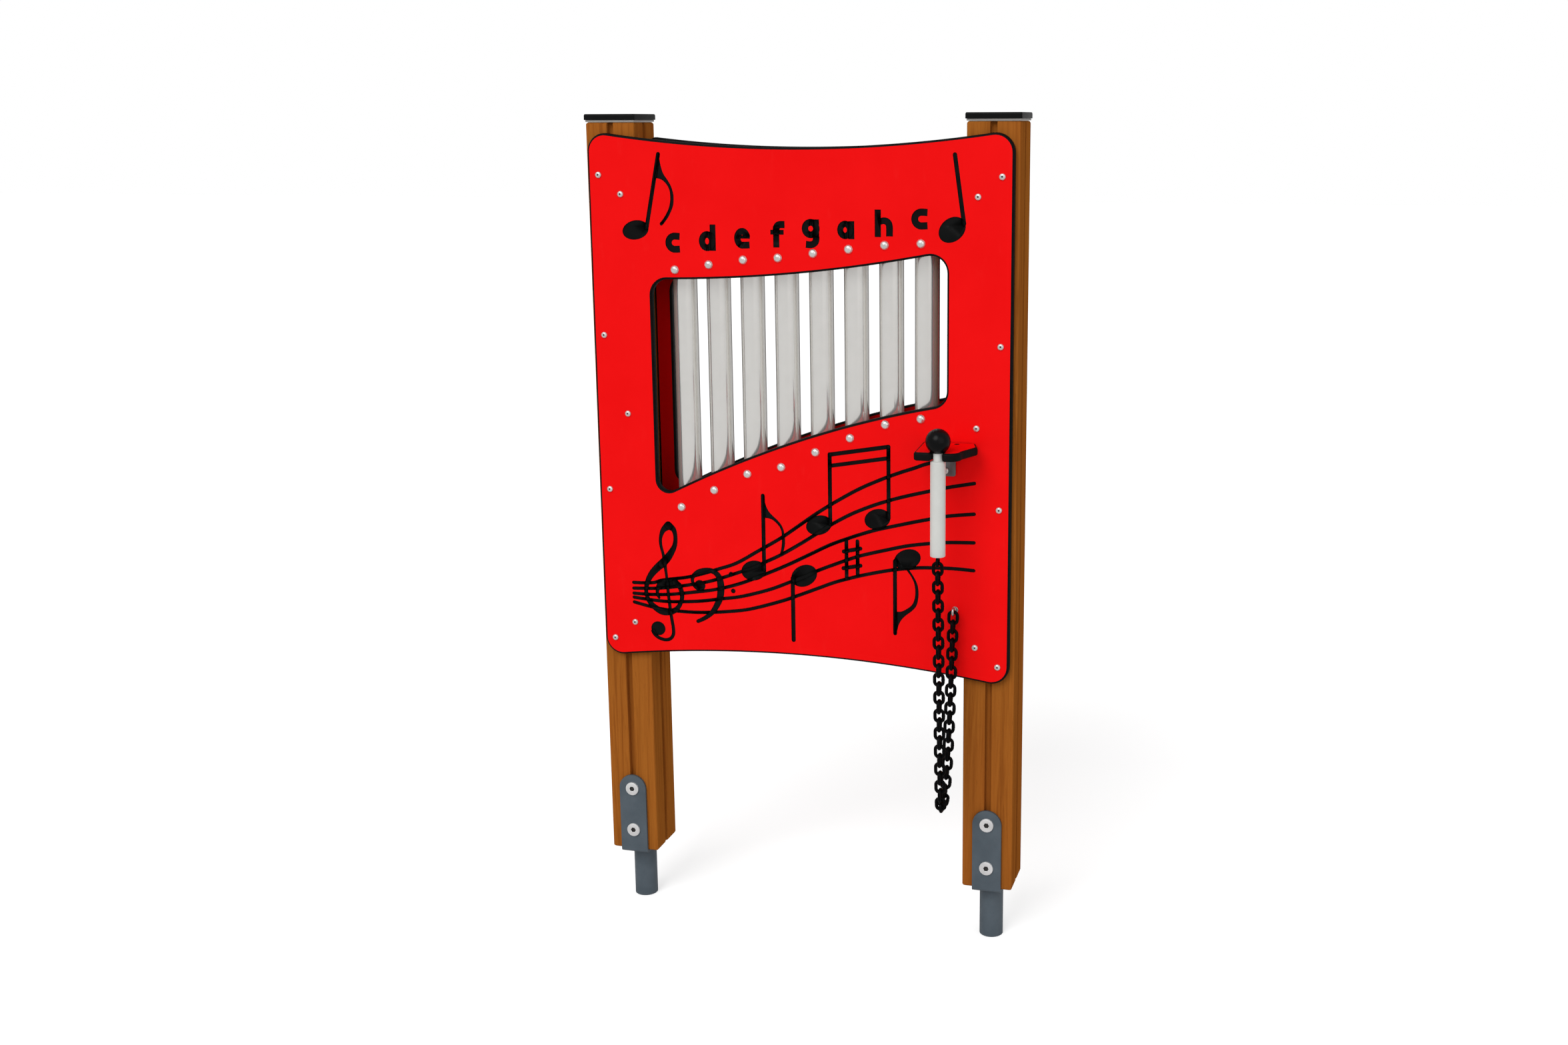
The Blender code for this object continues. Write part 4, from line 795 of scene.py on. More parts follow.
def notes():
    return [
        # eighth note at the top left
        ellipse(-306.6, 1339.4, 26.2, 17.4, 12),
        stroke([(-284.5, 1344), (-281.3, 1360), (-257.8, 1476)], 6.4, 2),
        band([(-257, 1478), (-254.8, 1463), (-252, 1450), (-248, 1440), (-241, 1430), (-235, 1420),
            (-231, 1408), (-230, 1398), (-231, 1386), (-234.6, 1376), (-241, 1364), (-247, 1356),
            (-253, 1349)], [(-267, 1433), (-257, 1432), (-249, 1428), (-242, 1420.5), (-238, 1412),
            (-236.6, 1402), (-237, 1392), (-240, 1380), (-245, 1370), (-251, 1361), (-258, 1353)]),
        ellipse(-255.6, 1351, 3.2, 3.2),
        # quarter note at the top right
        ellipse(288.2, 1347, 26.4, 20.2, 38),
        stroke([(309.5, 1358), (307.3, 1372), (292.6, 1476)], 6.4, 2),
        # eighth note on the staff
        ellipse(-90.5, 708, 25, 19.2, 15), line((-69.8, 712), (-69.8, 853), 6.4),
        band([(-69, 855), (-66.5, 843), (-63, 832), (-58, 823), (-50, 815), (-42, 808), (-35, 800),
            (-31, 792), (-29, 784), (-27.8, 774), (-28, 762), (-30, 752), (-34, 742)], [(-69, 811),
            (-60, 810.4), (-52, 808), (-44, 802), (-38, 795), (-35, 788), (-34, 779), (-34, 766),
            (-35.5, 754), (-38, 744)]),
        # quarter note on the staff
        ellipse(8.6, 704.4, 27, 19.8, 30), line((-13.9, 698), (-13.9, 578), 6.8),
        # two eighth notes joined by beams
        ellipse(38.5, 803, 25.6, 18.2, 20), ellipse(150.8, 821, 25.2, 18.8, 18),
        line((60.6, 806), (60.6, 937.5), 6.4), line((172, 824), (172, 956), 6.2),
        line((60.6, 937), (172, 956.5), 6.6), line((60.6, 916), (172, 935.5), 6.2),
        # sharp
        line((91.2, 704), (91.2, 777), 6), line((112.4, 714), (112.4, 777), 6),
        line((86, 756), (118, 763.5), 6.4), line((85, 724), (118, 731), 6.4),
        # upturned eighth note
        ellipse(207.2, 748.6, 26, 18.6, 22), line((183.6, 744), (183.6, 606), 6.2),
        band([(184, 604), (187.5, 611), (190.5, 622.5), (196, 633), (205, 642.5), (215, 650.5),
            (223.8, 661), (227.6, 675), (228.2, 690), (226, 702.5), (220, 715), (210, 730)],
            [(184, 648), (195, 648.6), (205, 653.8), (215.4, 662.5), (220.8, 675), (222, 690),
            (219.6, 705), (213.4, 717.5), (203, 731)]),
    ]


def letter_c(left, bottom, width):
    """A lower-case c as one open stroke."""
    height = 35.2
    pen = 11.2
    half = (height - pen) / 2
    middle = bottom + height / 2
    turn = left + pen / 2 + half * 1.02
    points = [(left + width, middle + half - 0.6)]
    points += arc(turn, middle, turn - left - pen / 2, half, 90, 270, 10)
    points += [(left + width, middle - half + 0.6)]
    return [blunt(points, pen, 3)]


def ring(x, z, across, up, pen):
    """A closed letter bowl, from two overlapping half strokes."""
    return [blunt(arc(x, z, across, up, start, start + 200, 12), pen, 2)
            for start in (80, -100)]


def letters():
    """The note names c d e f g a h c."""
    return [
        *letter_c(-248, 1299.6, 27.5), *ring(-167.4, 1321, 9.8, 12, 10.8),
        bar(-162, 1303.6, -150.8, 1351),
        blunt(arc(-99.8, 1327, 9.2, 12.4, 10, 270, 14) + [(-86, 1315.2)], 11, 2),
        bar(-110, 1326.4, -85.2, 1332.4), bar(-41, 1311.5, -29.4, 1349),
        blunt([(-35.2, 1340), (-34.4, 1347.5), (-29.5, 1352), (-19, 1352.4)], 11.4),
        bar(-46, 1334.4, -21, 1343), *ring(29.8, 1346, 10.6, 11, 10.8),
        bar(34.4, 1327, 45.5, 1362.4),
        blunt([(39.9, 1332), (38.6, 1322.5), (31.5, 1317.6), (20.5, 1318)], 11),
        *ring(93.8, 1344.4, 9, 10.6, 10), bar(99.6, 1328.2, 110.8, 1360),
        bar(148.2, 1332.6, 159.6, 1380.8),
        blunt([(155, 1358), (164, 1361.4), (171.6, 1359), (175, 1352), (175.2, 1334)], [9, 10.4,
            11, 11, 11]),
        *letter_c(215.4, 1347.4, 28.6),
    ]


def engraving_cutter():
    """Every figure as a prism with a depth of its own."""
    figures = staff_lines() + treble_clef() + bass_clef() + notes() + letters()
    shape = bmesh.new()
    for number, outline in enumerate(figures):
        extra = number * ENGRAVING_STEP
        front, back = ([shape.verts.new((x * MM, y, z * MM)) for x, z in outline]
                       for y in (PANEL_FACE_Y - MM - extra,
                                 PANEL_FACE_Y + ENGRAVING_DEPTH + extra))
        shape.faces.new(front)
        shape.faces.new(back[::-1])
        for i in range(len(outline)):
            after = (i + 1) % len(outline)
            shape.faces.new((front[after], front[i], back[i], back[after]))
    mesh = mesh_of("engraving", shape)
    mesh.materials.append(CORE)
    return mesh


# Sheets

def colour_sheet(mesh, red, axis):
    """Red on the two flat faces, black core on the rounded edges."""
    mesh.materials.clear()
    mesh.materials.append(red)
    mesh.materials.append(CORE)
    for face in mesh.polygons:
        face.material_index = 0 if abs(face.normal[axis]) > FLAT_FACE else 1


def crisp_faces(mesh, axis):
    """Smooth edges, but keep the shading of the flat faces flat."""
    smooth_shade(mesh)
    shape = bmesh.new()
    shape.from_mesh(mesh)
    for edge in shape.edges:
        flat = [abs(face.normal[axis]) > FLAT_FACE for face in edge.link_faces]
        if len(flat) == 2 and flat[0] != flat[1]:
            edge.smooth = False
    shape.to_mesh(mesh)
    shape.free()


def blank_sheet(name, half_width, corner_radius, window, y, red):
    """A sheet with its window, upright and coloured."""
    outline = panel_outline(half_width, corner_radius)
    mesh = plate(name, [outline, window], SHEET_THICKNESS, SHEET_EDGE_ROUND)
    mesh.transform(Matrix.Translation((0, y, 0)) @ TO_PLAYER)
    colour_sheet(mesh, red, 1)
    return mesh


def build_sheets():
    mesh = blank_sheet("front_sheet", PANEL_WIDTH / 2, PANEL_CORNER_RADIUS,
                       window_outline(growth=WINDOW_GROWTH), FRONT_PANEL_Y, RED_FRONT)
    mesh = boolean(mesh, engraving_cutter(), self_overlap=True)
    crisp_faces(piece("front_sheet", mesh, None, ["front_panel"]).data, 1)
    mesh = blank_sheet("back_sheet", BACK_PANEL_HALF_WIDTH, BACK_PANEL_CORNER_RADIUS,
                       window_outline(BACK_WINDOW_NARROWING), BACK_PANEL_Y, SHADED_RED_BACK)
    crisp_faces(piece("back_sheet", mesh, None, ["back_panel"]).data, 1)


# Posts, caps and anchors

def post_section():
    """A section with rounded corners and a groove in each face."""
    half = POST_WIDTH / 2
    groove = POST_GROOVE_WIDTH / 2
    floor = half - POST_GROOVE_DEPTH
    fillet = 0.001
    lip = 0.0012
    nip = lip * 0.3
    quarter = [(-groove + fillet, -floor), (groove - fillet, -floor), (groove, -floor - fillet),
               (groove, -half + lip), (groove + nip, -half + nip), (groove + lip, -half)]
    quarter += arc(half - POST_CORNER_RADIUS, -half + POST_CORNER_RADIUS, POST_CORNER_RADIUS,
                   POST_CORNER_RADIUS, -90, 0, 8)
    quarter += [(half, -groove - lip), (half - nip, -groove - nip), (half - lip, -groove),
                (floor + fillet, -groove)]
    return [tuple(Matrix.Rotation(turn * math.pi / 2, 2) @ Vector(point))
            for turn in range(4) for point in quarter]


def extruded(outline, x, levels):
    """Stack an outline at several heights, each scaled by its own share, and close it."""
    shape = bmesh.new()
    rings = [[shape.verts.new((x + across * share, up * share, z)) for across, up in outline]
             for z, share in levels]
    for first, second in zip(rings, rings[1:]):
        for i in range(len(outline)):
            after = (i + 1) % len(outline)
            shape.faces.new((first[i], first[after], second[after], second[i]))
    shape.faces.new(rings[0])
    shape.faces.new(rings[-1])
    return shape


def build_posts():
    outline = post_section()
    height = POST_TOP_Z - POST_BOTTOM_Z
    # each end is rounded in two steps: rise from the end, and inset from the face
    end_steps = [(rise, 1 - inset / (POST_WIDTH / 2))
                 for rise, inset in ((0, 0.0035), (0.0015, 0.0012), (0.004, 0))]
    levels = [(POST_BOTTOM_Z + rise, share) for rise, share in end_steps]
    levels += [(POST_BOTTOM_Z + height * step / 12, 1) for step in range(1, 12)]
    levels += [(POST_TOP_Z - rise, share) for rise, share in reversed(end_steps)]
    for name, side in SIDES:
        piece(f"timber_post_{name}", extruded(outline, side * POST_X, levels), TIMBER,
              [f"post_{name}"])


def square(width):
    radius = 0.0015
    half = width / 2 - radius
    points = []
    for turn, (x, y) in enumerate(((half, half), (-half, half), (-half, -half), (half, -half))):
        points += arc(x, y, radius, radius, turn * 90, turn * 90 + 90, 6)
    return points


def build_caps():
    """A plate with a rounded upper edge over a narrower lip."""
    base = POST_TOP_Z + SEAT_GAP
    bottom = base + CAP_FOOT_HEIGHT
    top = bottom + CAP_PLATE_HEIGHT
    edge = 0.0022
    edge_drop = edge * 1.4
    chamfer = 0.0006
    chamfer_inset = 0.0004
    crown_share = 0.86
    lip_share = 0.99
    plate_levels = [(bottom, 1 - 2 * chamfer_inset / CAP_WIDTH), (bottom + chamfer, 1)]
    for step in range(7):
        angle = math.pi / 2 * step / 6
        plate_levels.append((top - edge_drop * (1 - math.sin(angle)),
                             1 - 2 * edge * (1 - math.cos(angle)) / CAP_WIDTH))
    plate_levels.append((top, crown_share))
    lip_levels = [(base, lip_share), (base + chamfer, 1), (bottom - chamfer / 3, 1),
                  (bottom, lip_share)]
    for name, side in SIDES:
        piece(f"cap_plate_{name}", extruded(square(CAP_WIDTH), side * POST_X, plate_levels),
              CAP_PLASTIC, [f"post_cap_{name}"])
        piece(f"cap_lip_{name}", extruded(square(CAP_FOOT_WIDTH), side * POST_X, lip_levels),
              CAP_LIP)


def anchor_strap(name):
    """A U of flat steel round the post's foot, with round ends on its legs."""
    inner = POST_WIDTH / 2 + SEAT_GAP
    outer = inner + STRAP_THICKNESS
    floor = STRAP_BOTTOM_Z + STRAP_THICKNESS
    half = STRAP_WIDTH / 2
    margin = 0.01
    edge_round = 0.0007
    inner_bend = 0.0015
    bends = [STRAP_BEND_RADIUS, STRAP_BEND_RADIUS, 0, 0, inner_bend, inner_bend, 0, 0]
    section = rounded_outline(
        [(-outer, STRAP_BOTTOM_Z), (outer, STRAP_BOTTOM_Z), (outer, STRAP_TOP_Z),
         (inner, STRAP_TOP_Z), (inner, floor), (-inner, floor), (-inner, STRAP_TOP_Z),
         (-outer, STRAP_TOP_Z)], [0] * 8, bends)
    strap = plate(f"anchor_{name}", [section], STRAP_WIDTH)
    strap.transform(Matrix.Rotation(math.pi / 2, 4, "Z") @ TO_PLAYER)
    face = [(-half, STRAP_BOTTOM_Z - margin), (half, STRAP_BOTTOM_Z - margin)]
    face += arc(0, STRAP_TOP_Z - half, half, half, 0, 180, 40)
    trim = plate("trim", [face], 2 * POST_WIDTH + margin)
    trim.transform(TO_PLAYER)
    return bevelled(boolean(strap, trim, "INTERSECT"), edge_round)


def anchor_tube(x):
    """An open tube with a rippled weld bead where it meets the strap."""
    outer = ANCHOR_TUBE_RADIUS
    inner = outer - ANCHOR_TUBE_WALL
    edge = 0.0006
    bead_radius = 0.0021
    bead_offset = 0.0008
    ripple_height = 0.00035
    ripples = 29
    top = STRAP_BOTTOM_Z + 0.001
    shape = turned([(outer, top), (outer, edge), (outer - edge, 0), (inner + edge, 0),
                    (inner, edge), (inner, top), (outer, top)], (x, 0, 0), 64, "up")
    bead, sizes = [], []
    for step in range(96):
        angle = 2 * math.pi * step / 96
        ripple = ripple_height * math.sin(angle * ripples)
        reach = outer + bead_offset
        bead.append((x + reach * math.cos(angle), reach * math.sin(angle),
                     STRAP_BOTTOM_Z - bead_offset + ripple * 0.5))
        sizes.append(bead_radius + ripple)
    tube_along(shape, bead, sizes, 10, cyclic=True)
    return shape


def build_anchors():
    for name, side in SIDES:
        strap = anchor_strap(name)
        strap.transform(Matrix.Translation((side * POST_X, 0, 0)))
        piece(f"anchor_strap_{name}", strap, ANCHOR_STEEL,
              [f"ground_anchor_{name}"])
        piece(f"anchor_tube_{name}", anchor_tube(side * POST_X), ANCHOR_STEEL)


def build_anchor_bolts():
    """Flat heads on both sides of the post, the front one with a six-sided socket."""
    seat = POST_WIDTH / 2 + STRAP_THICKNESS + 2 * SEAT_GAP
    crown = seat + ANCHOR_BOLT_HEAD_HEIGHT
    head = ANCHOR_BOLT_HEAD_RADIUS
    shank = 0.005
    socket = 0.0052
    socket_depth = 0.0024
    socket_floor_depth = 0.0026
    socket_chamfer = 0.0004
    edge_inset = 0.0009
    edge_drop = 0.0011
    nip = 0.0003
    edge = [(head - edge_inset, crown), (head - nip, crown - nip), (head, crown - edge_drop),
            (head, seat)]
    profile = [(0, crown - socket_floor_depth), (socket, crown - socket_depth, "hex"),
               (socket, crown - nip, "hex"), (socket + socket_chamfer, crown, "hex")]
    profile += edge + [(shank, seat), (shank, -seat)]
    profile += [(radius, -height) for radius, height in reversed(edge)] + [(0, -crown)]
    upper = STRAP_TOP_Z - STRAP_WIDTH / 2
    for side_name, side in SIDES:
        for row, z in (("upper", upper), ("lower", upper - ANCHOR_BOLT_SPACING)):
            piece(f"foot_bolt_{side_name}_{row}",
                  turned(profile, (side * POST_X, 0, z), dark_from=2), (PALE_ZINC, SOCKET_DARK),
                  [f"anchor_bolt_{side_name}_{row}"])


# Screws and bolts

def button_head(radius, height, socket, depth, shank, length):
    """A domed head with a six-lobed socket, over its shank; its seat is at zero."""
    rim_radius = socket * 1.12
    rows = [(0, height - depth), (socket * 0.8, height - depth, "lobed"),
            (socket, height * 0.88, "lobed"), (rim_radius, height * 0.96)]
    for step in range(1, 7):
        angle = math.pi / 2 * step / 7
        rows.append((rim_radius + (radius - rim_radius) * math.sin(angle),
                     height * 0.96 * math.cos(angle) ** 0.8))
    return rows + [(radius, 0.0002), (radius, 0), (shank, 0), (shank, -length), (0, -length)]


def build_panel_screws():
    profile = button_head(*PANEL_SCREW)
    places = [(side * x, z) for _, side in SIDES
              for x, rows in ((SCREW_OUTER_X, SCREW_OUTER_ROWS_Z),
                              (SCREW_INNER_X, SCREW_INNER_ROWS_Z)) for z in rows]
    for number, (x, z) in enumerate(places, start=1):
        piece(f"button_screw_{number:02d}",
              turned(profile, (x, PANEL_FACE_Y - SEAT_GAP, z), 36, dark_from=2),
              (SCREW_METAL, SOCKET_DARK), [f"panel_screw_{number:02d}"])


def build_chimes():
    outer = CHIME_RADIUS
    inner = CHIME_RADIUS - CHIME_WALL
    outside = 0.0005
    inside = 0.0004
    middle = (len(SCALE_SEMITONES) - 1) / 2
    for index, semitones in enumerate(SCALE_SEMITONES):
        number = index + 1
        x = (index - middle) * CHIME_PITCH
        length = LONGEST_CHIME * 2 ** (-semitones / SEMITONES_TO_HALVE_LENGTH)
        inset = length * NODE_POINT_SHARE
        rows = [(outer - outside, 0), (outer, -outside)]
        rows += [(outer, -length * step / 16) for step in range(1, 16)]
        rows += [(outer, -length + outside), (outer - outside, -length),
                 (inner + inside, -length), (inner, -length + inside), (inner, -inside),
                 (inner + inside, 0), (outer - outside, 0)]
        shape = turned(rows, (x, CHIME_Y, CHIME_TOP_Z), 64, "up")
        bmesh.ops.remove_doubles(shape, verts=shape.verts, dist=MERGE_DISTANCE / 10)
        piece(f"chime_tube_{number}", shape, CHIME_METAL, [f"chime_{number}"])
        for row, z in (("upper", CHIME_TOP_Z - inset), ("lower", CHIME_TOP_Z - length + inset)):
            piece(f"dome_bolt_{number}_{row}", turned(chime_bolt_profile(), (x, 0, z), 36),
                  BOLT_METAL, [f"chime_bolt_{number}_{row}"])


def chime_bolt_profile():
    """Smooth dome in front, spacers beside the tube and a cap nut behind."""
    seat = -PANEL_FACE_Y + SEAT_GAP
    nut = -BACK_PANEL_REAR_Y - SEAT_GAP
    shank = 0.004
    dome = 0.0071
    dome_base = 0.0012
    dome_height = 0.0040
    brim = 0.0079
    brim_height = 0.0007
    nut_radius = 0.007
    nut_side = 0.0014
    nut_top = 0.0018
    cap = 0.0056
    cap_height = 0.0032
    rows = [(0, seat + dome_base + dome_height)]
    for step in range(1, 9):
        angle = math.pi / 2 * step / 9
        rows.append((dome * math.sin(angle), seat + dome_base + dome_height * math.cos(angle)))
    rows += [(0.0076, seat + 0.0011), (brim, seat + brim_height), (brim, seat), (shank, seat)]
    spacer = 0.008
    edge = 0.0005
    for high, low in ((-POST_FRONT_Y - SEAT_GAP, -CHIME_Y + CHIME_RADIUS + SEAT_GAP),
                      (-CHIME_Y - CHIME_RADIUS - SEAT_GAP, -BACK_PANEL_FRONT_Y + SEAT_GAP)):
        rows += [(shank, high), (spacer - edge, high), (spacer, high - edge),
                 (spacer, low + edge), (spacer - edge, low), (shank, low)]
    rows += [(shank, nut), (nut_radius, nut), (nut_radius, nut - nut_side, "hex"),
             (0.0062, nut - nut_top, "hex")]
    for step in range(1, 7):
        angle = math.pi / 2 * step / 6
        rows.append((cap * math.cos(angle) if step < 6 else 0,
                     nut - nut_top - cap_height * math.sin(angle)))
    return rows


# Shelf, bracket and eye bolt

def shelf_outline():
    """The shelf in plan about its middle, with Y from the panel's face; drawn at the red edge."""
    inset = SHEET_EDGE_ROUND
    back = -SEAT_GAP - inset
    front = -SHELF_DEPTH + inset
    slot = SHELF_SLOT_WIDTH / 2 + inset
    right = SHELF_RIGHT_REACH - inset
    rounded = [((slot, -MALLET_FROM_PANEL), 0), ((slot, front), 0.001), ((right, front), 0.018),
               ((right, -SHELF_WAIST_FROM_PANEL), 0.030),
               ((SHELF_TIP_REACH - inset, -SHELF_TIP_FROM_PANEL), 0.0015),
               ((SHELF_RIGHT_BACK_REACH - inset, back), 0.0005),
               ((inset - SHELF_LEFT_BACK_REACH, back), 0.0005),
               ((inset - SHELF_LEFT_REACH, front), 0.004), ((-slot, front), 0.001),
               ((-slot, -MALLET_FROM_PANEL), 0)]
    corners, radii = zip(*rounded)
    outline = rounded_outline(corners, [0] * len(corners), radii)
    return outline + arc(0, -MALLET_FROM_PANEL, slot, slot, 180, 0, 24)[1:-1]


def build_shelf():
    mesh = plate("mallet_rest", [shelf_outline()], SHEET_THICKNESS, SHEET_EDGE_ROUND)
    mesh.transform(Matrix.Translation((SHELF_X, PANEL_FACE_Y, SHELF_TOP_Z - SHEET_THICKNESS / 2)))
    colour_sheet(mesh, RED_SHELF, 2)
    pocket = 0.0048
    pocket_top = 0.01
    pockets = bmesh.new()
    places = [(SHELF_X + side * SHELF_SCREW_SPACING / 2, PANEL_FACE_Y - SHELF_SCREW_FROM_PANEL)
              for _, side in SIDES]
    for x, y in places:
        turned([(0, pocket_top), (pocket, pocket_top), (pocket, -SHELF_SCREW_SINK),
                (0, -SHELF_SCREW_SINK)], (x, y, SHELF_TOP_Z), 32, "up", shape=pockets)
    pockets = mesh_of("pockets", pockets)
    pockets.materials.append(CORE)
    made = piece("mallet_rest", boolean(mesh, pockets), None, ["mallet_shelf"])
    crisp_faces(made.data, 2)
    profile = button_head(*REST_SCREW)
    for (name, _), (x, y) in zip(SIDES, places):
        piece(f"rest_screw_{name}",
              turned(profile, (x, y, SHELF_TOP_Z - SHELF_SCREW_SINK + SEAT_GAP), 32, "up"),
              DARK_METAL, [f"shelf_screw_{name}"])


def strip(name, width, length, corner_radius):
    """A flat steel strip that hangs from zero, with two rounded corners at its end."""
    half = width / 2
    outline = rounded_outline([(-half, -length), (half, -length), (half, 0), (-half, 0)],
                              [0] * 4, [corner_radius, corner_radius, 0, 0])
    return plate(name, [outline], BRACKET_THICKNESS)


def build_bracket():
    """Bent strip: a rounded leg on the panel and a wide foot under the shelf."""
    top = SHELF_TOP_Z - SHEET_THICKNESS - SEAT_GAP
    leg_x = SHELF_X - BRACKET_LEG_OFFSET
    seat = PANEL_FACE_Y - SEAT_GAP
    leg = strip("leg", BRACKET_LEG_WIDTH, BRACKET_LEG_HEIGHT, corner_radius=0.004)
    leg.transform(Matrix.Translation((leg_x, seat - BRACKET_THICKNESS / 2, top)) @ TO_PLAYER)
    foot = strip("foot", BRACKET_FOOT_WIDTH, BRACKET_FOOT_DEPTH, corner_radius=0.003)
    foot.transform(Matrix.Translation((SHELF_X, seat, top - BRACKET_THICKNESS / 2)))
    bent = bevelled(boolean(leg, foot, "UNION"), width=0.0005)
    piece("rest_bracket", bent, BRACKET_METAL, ["shelf_bracket"])
    place_of_screw = (leg_x, seat - BRACKET_THICKNESS - SEAT_GAP, top - BRACKET_SCREW_DROP)
    profile = button_head(*BRACKET_SCREW)
    piece("rest_bracket_screw", turned(profile, place_of_screw, 40, dark_from=2),
          (SCREW_METAL, SOCKET_DARK), ["bracket_screw"])


def add_eye(shape, centre, radius):
    """A round wire bent to a closed eye that faces sideways."""
    angles = [2 * math.pi * step / 48 for step in range(48)]
    tube_along(shape, [(centre[0], centre[1] + radius * math.cos(angle),
                        centre[2] + radius * math.sin(angle)) for angle in angles],
               EYE_WIRE_RADIUS, 14, cyclic=True)


def build_wall_eye():
    """Stem and collar in front of the panel, a nut behind it, and the eye."""
    x = SHELF_X + WALL_EYE_OFFSET
    shank = 0.003
    collar = 0.006
    nut = 0.0064
    stem_tip = 0.0101
    nut_face = -SHEET_THICKNESS - SEAT_GAP
    nut_end = -0.0193
    shape = turned([(0, stem_tip), (EYE_WIRE_RADIUS, stem_tip), (0.0026, 0.0060),
                    (shank, 0.0031), (0.0054, 0.0029), (collar, 0.0023), (collar, SEAT_GAP),
                    (shank, SEAT_GAP), (shank, nut_face), (collar, nut_face),
                    (nut, -0.0158, "hex"), (nut, -0.0189, "hex"), (0.0056, nut_end, "hex"),
                    (0, nut_end)], (x, PANEL_FACE_Y, WALL_EYE_Z), 36)
    add_eye(shape, (x, PANEL_FACE_Y - WALL_EYE_FROM_PANEL, WALL_EYE_Z), WALL_EYE_RADIUS)
    piece("wall_eye", shape, EYE_METAL, ["chain_eye_bolt"])


# Mallet

def build_ball(middle):
    """Rubber ball with a mould line and a collar round its bore."""
    bore = 0.0088
    bore_top = -BALL_RADIUS + NECK_SOCKET_DEPTH
    bottom = -BALL_RADIUS * 0.935
    rows = [(0, BALL_RADIUS)]
    for step in range(1, 44):
        angle = math.pi * step / 44
        height = BALL_RADIUS * math.cos(angle)
        if height < -BALL_RADIUS * 0.9:
            break
        mould_line = 0.00022 * math.exp(-(height / 0.0006) ** 2)
        rows.append((BALL_RADIUS * math.sin(angle) - 0.0002 + mould_line, height))
    rows += [(0.0096, bottom + 0.0005), (0.0092, bottom + 0.0004), (bore, bottom + 0.0008),
             (bore, bore_top), (0, bore_top)]
    piece("rubber_ball", turned(rows, (SHELF_X, MALLET_Y, middle), 80, "up"), RUBBER,
          ["mallet_ball"], "mallet")


def build_handle(neck_top):
    """Neck, grip with a round shoulder and a shallow hole in its lower end."""
    top = GRIP_TOP_Z
    bottom = top - GRIP_LENGTH
    grip = GRIP_RADIUS
    shoulder = 0.0022
    neck_chamfer = 0.0004
    end_round = 0.0016
    hole = 0.0046
    hole_depth = 0.0006
    rows = [(0, neck_top), (NECK_RADIUS - neck_chamfer, neck_top),
            (NECK_RADIUS, neck_top - neck_chamfer), (NECK_RADIUS, top + 0.0012),
            (0.0090, top + 0.0003), (0.0097, top), (grip - shoulder, top)]
    rows += [(grip - shoulder + shoulder * math.sin(math.pi / 2 * step / 6),
              top - shoulder + shoulder * math.cos(math.pi / 2 * step / 6))
             for step in range(1, 7)]
    rows += [(grip, top - GRIP_LENGTH * step / 10) for step in range(1, 10)]
    rows += [(grip, bottom + end_round), (grip - 0.0005, bottom + 0.0005),
             (grip - end_round, bottom), (hole + hole_depth, bottom), (hole, bottom + hole_depth),
             (0, bottom + hole_depth)]
    piece("mallet_grip", turned(rows, (SHELF_X, MALLET_Y, 0), 64, "up"), HANDLE_PLASTIC,
          ["mallet_handle"], "mallet")


def build_mallet_eye():
    """The eye that carries the chain, with its stem up into the grip."""
    bottom = GRIP_TOP_Z - GRIP_LENGTH
    stem_end = MALLET_EYE_Z + 0.0072
    stem = 0.0023
    ferrule = 0.0042
    ferrule_drop = 0.0006
    inside_grip = 0.002
    shape = bmesh.new()
    add_eye(shape, (SHELF_X, MALLET_Y, MALLET_EYE_Z), MALLET_EYE_RADIUS)
    turned([(0, bottom + inside_grip), (ferrule, bottom + inside_grip),
            (ferrule, bottom - ferrule_drop), (0.0036, bottom - 0.0010),
            (stem, bottom - 2 * ferrule_drop), (stem, stem_end), (0, stem_end)],
           (SHELF_X, MALLET_Y, 0), 28, "up", shape=shape)
    piece("mallet_eye", shape, CHAIN_COAT, (), "mallet")


def build_mallet():
    """The ball rests on the slot's rounded edges."""
    reach = BALL_RADIUS + SEAT_GAP + SHEET_EDGE_ROUND
    edge_centre = SHELF_SLOT_WIDTH / 2 + SHEET_EDGE_ROUND
    middle = SHELF_TOP_Z - SHEET_EDGE_ROUND + math.sqrt(reach ** 2 - edge_centre ** 2)
    build_ball(middle)
    build_handle(middle - BALL_RADIUS + NECK_SOCKET_DEPTH - SEAT_GAP)
    build_mallet_eye()


# Chain

def strand_joints(top, foot, count, flat_links):
    """The points where a hanging strand's links touch, from its top to its foot."""
    run = abs(foot.y - top.y)
    drop = top.z - foot.z
    low, high = 0.05, 50.0
    for _ in range(60):
        pull = (low + high) / 2
        angles = [0.0] * flat_links
        angles += [math.atan(pull * number) for number in range(1, count - flat_links + 1)]
        across = sum(math.cos(angle) for angle in angles)
        down = sum(math.sin(angle) for angle in angles)
        if across / down > run / drop:
            low = pull
        else:
            high = pull
    pitch = drop / down
    direction = 1 if foot.y > top.y else -1
    joints = [foot.copy()]
    for number, angle in enumerate(angles, start=1):
        last = joints[-1]
        x = foot.x + (top.x - foot.x) * number / count
        joints.append(Vector((x, last.y - direction * math.cos(angle) * pitch,
                              last.z + math.sin(angle) * pitch)))
    joints.reverse()
    return joints, pitch


def link_path(pitch):
    """The middle line of one link, with flattened round ends and straight sides."""
    half_length = (pitch - CHAIN_LINK_FUSE) / 2 + CHAIN_WIRE_RADIUS
    half_width = CHAIN_LINK_WIDTH / 2 - CHAIN_WIRE_RADIUS
    end_height = half_width * 0.92
    points = []
    for end in (1, -1):
        for step in range(13):
            angle = math.pi * step / 12
            points.append(Vector((half_width * math.cos(angle) * end, 0, end * (
                half_length - end_height + end_height * math.sin(angle)))))
    return points


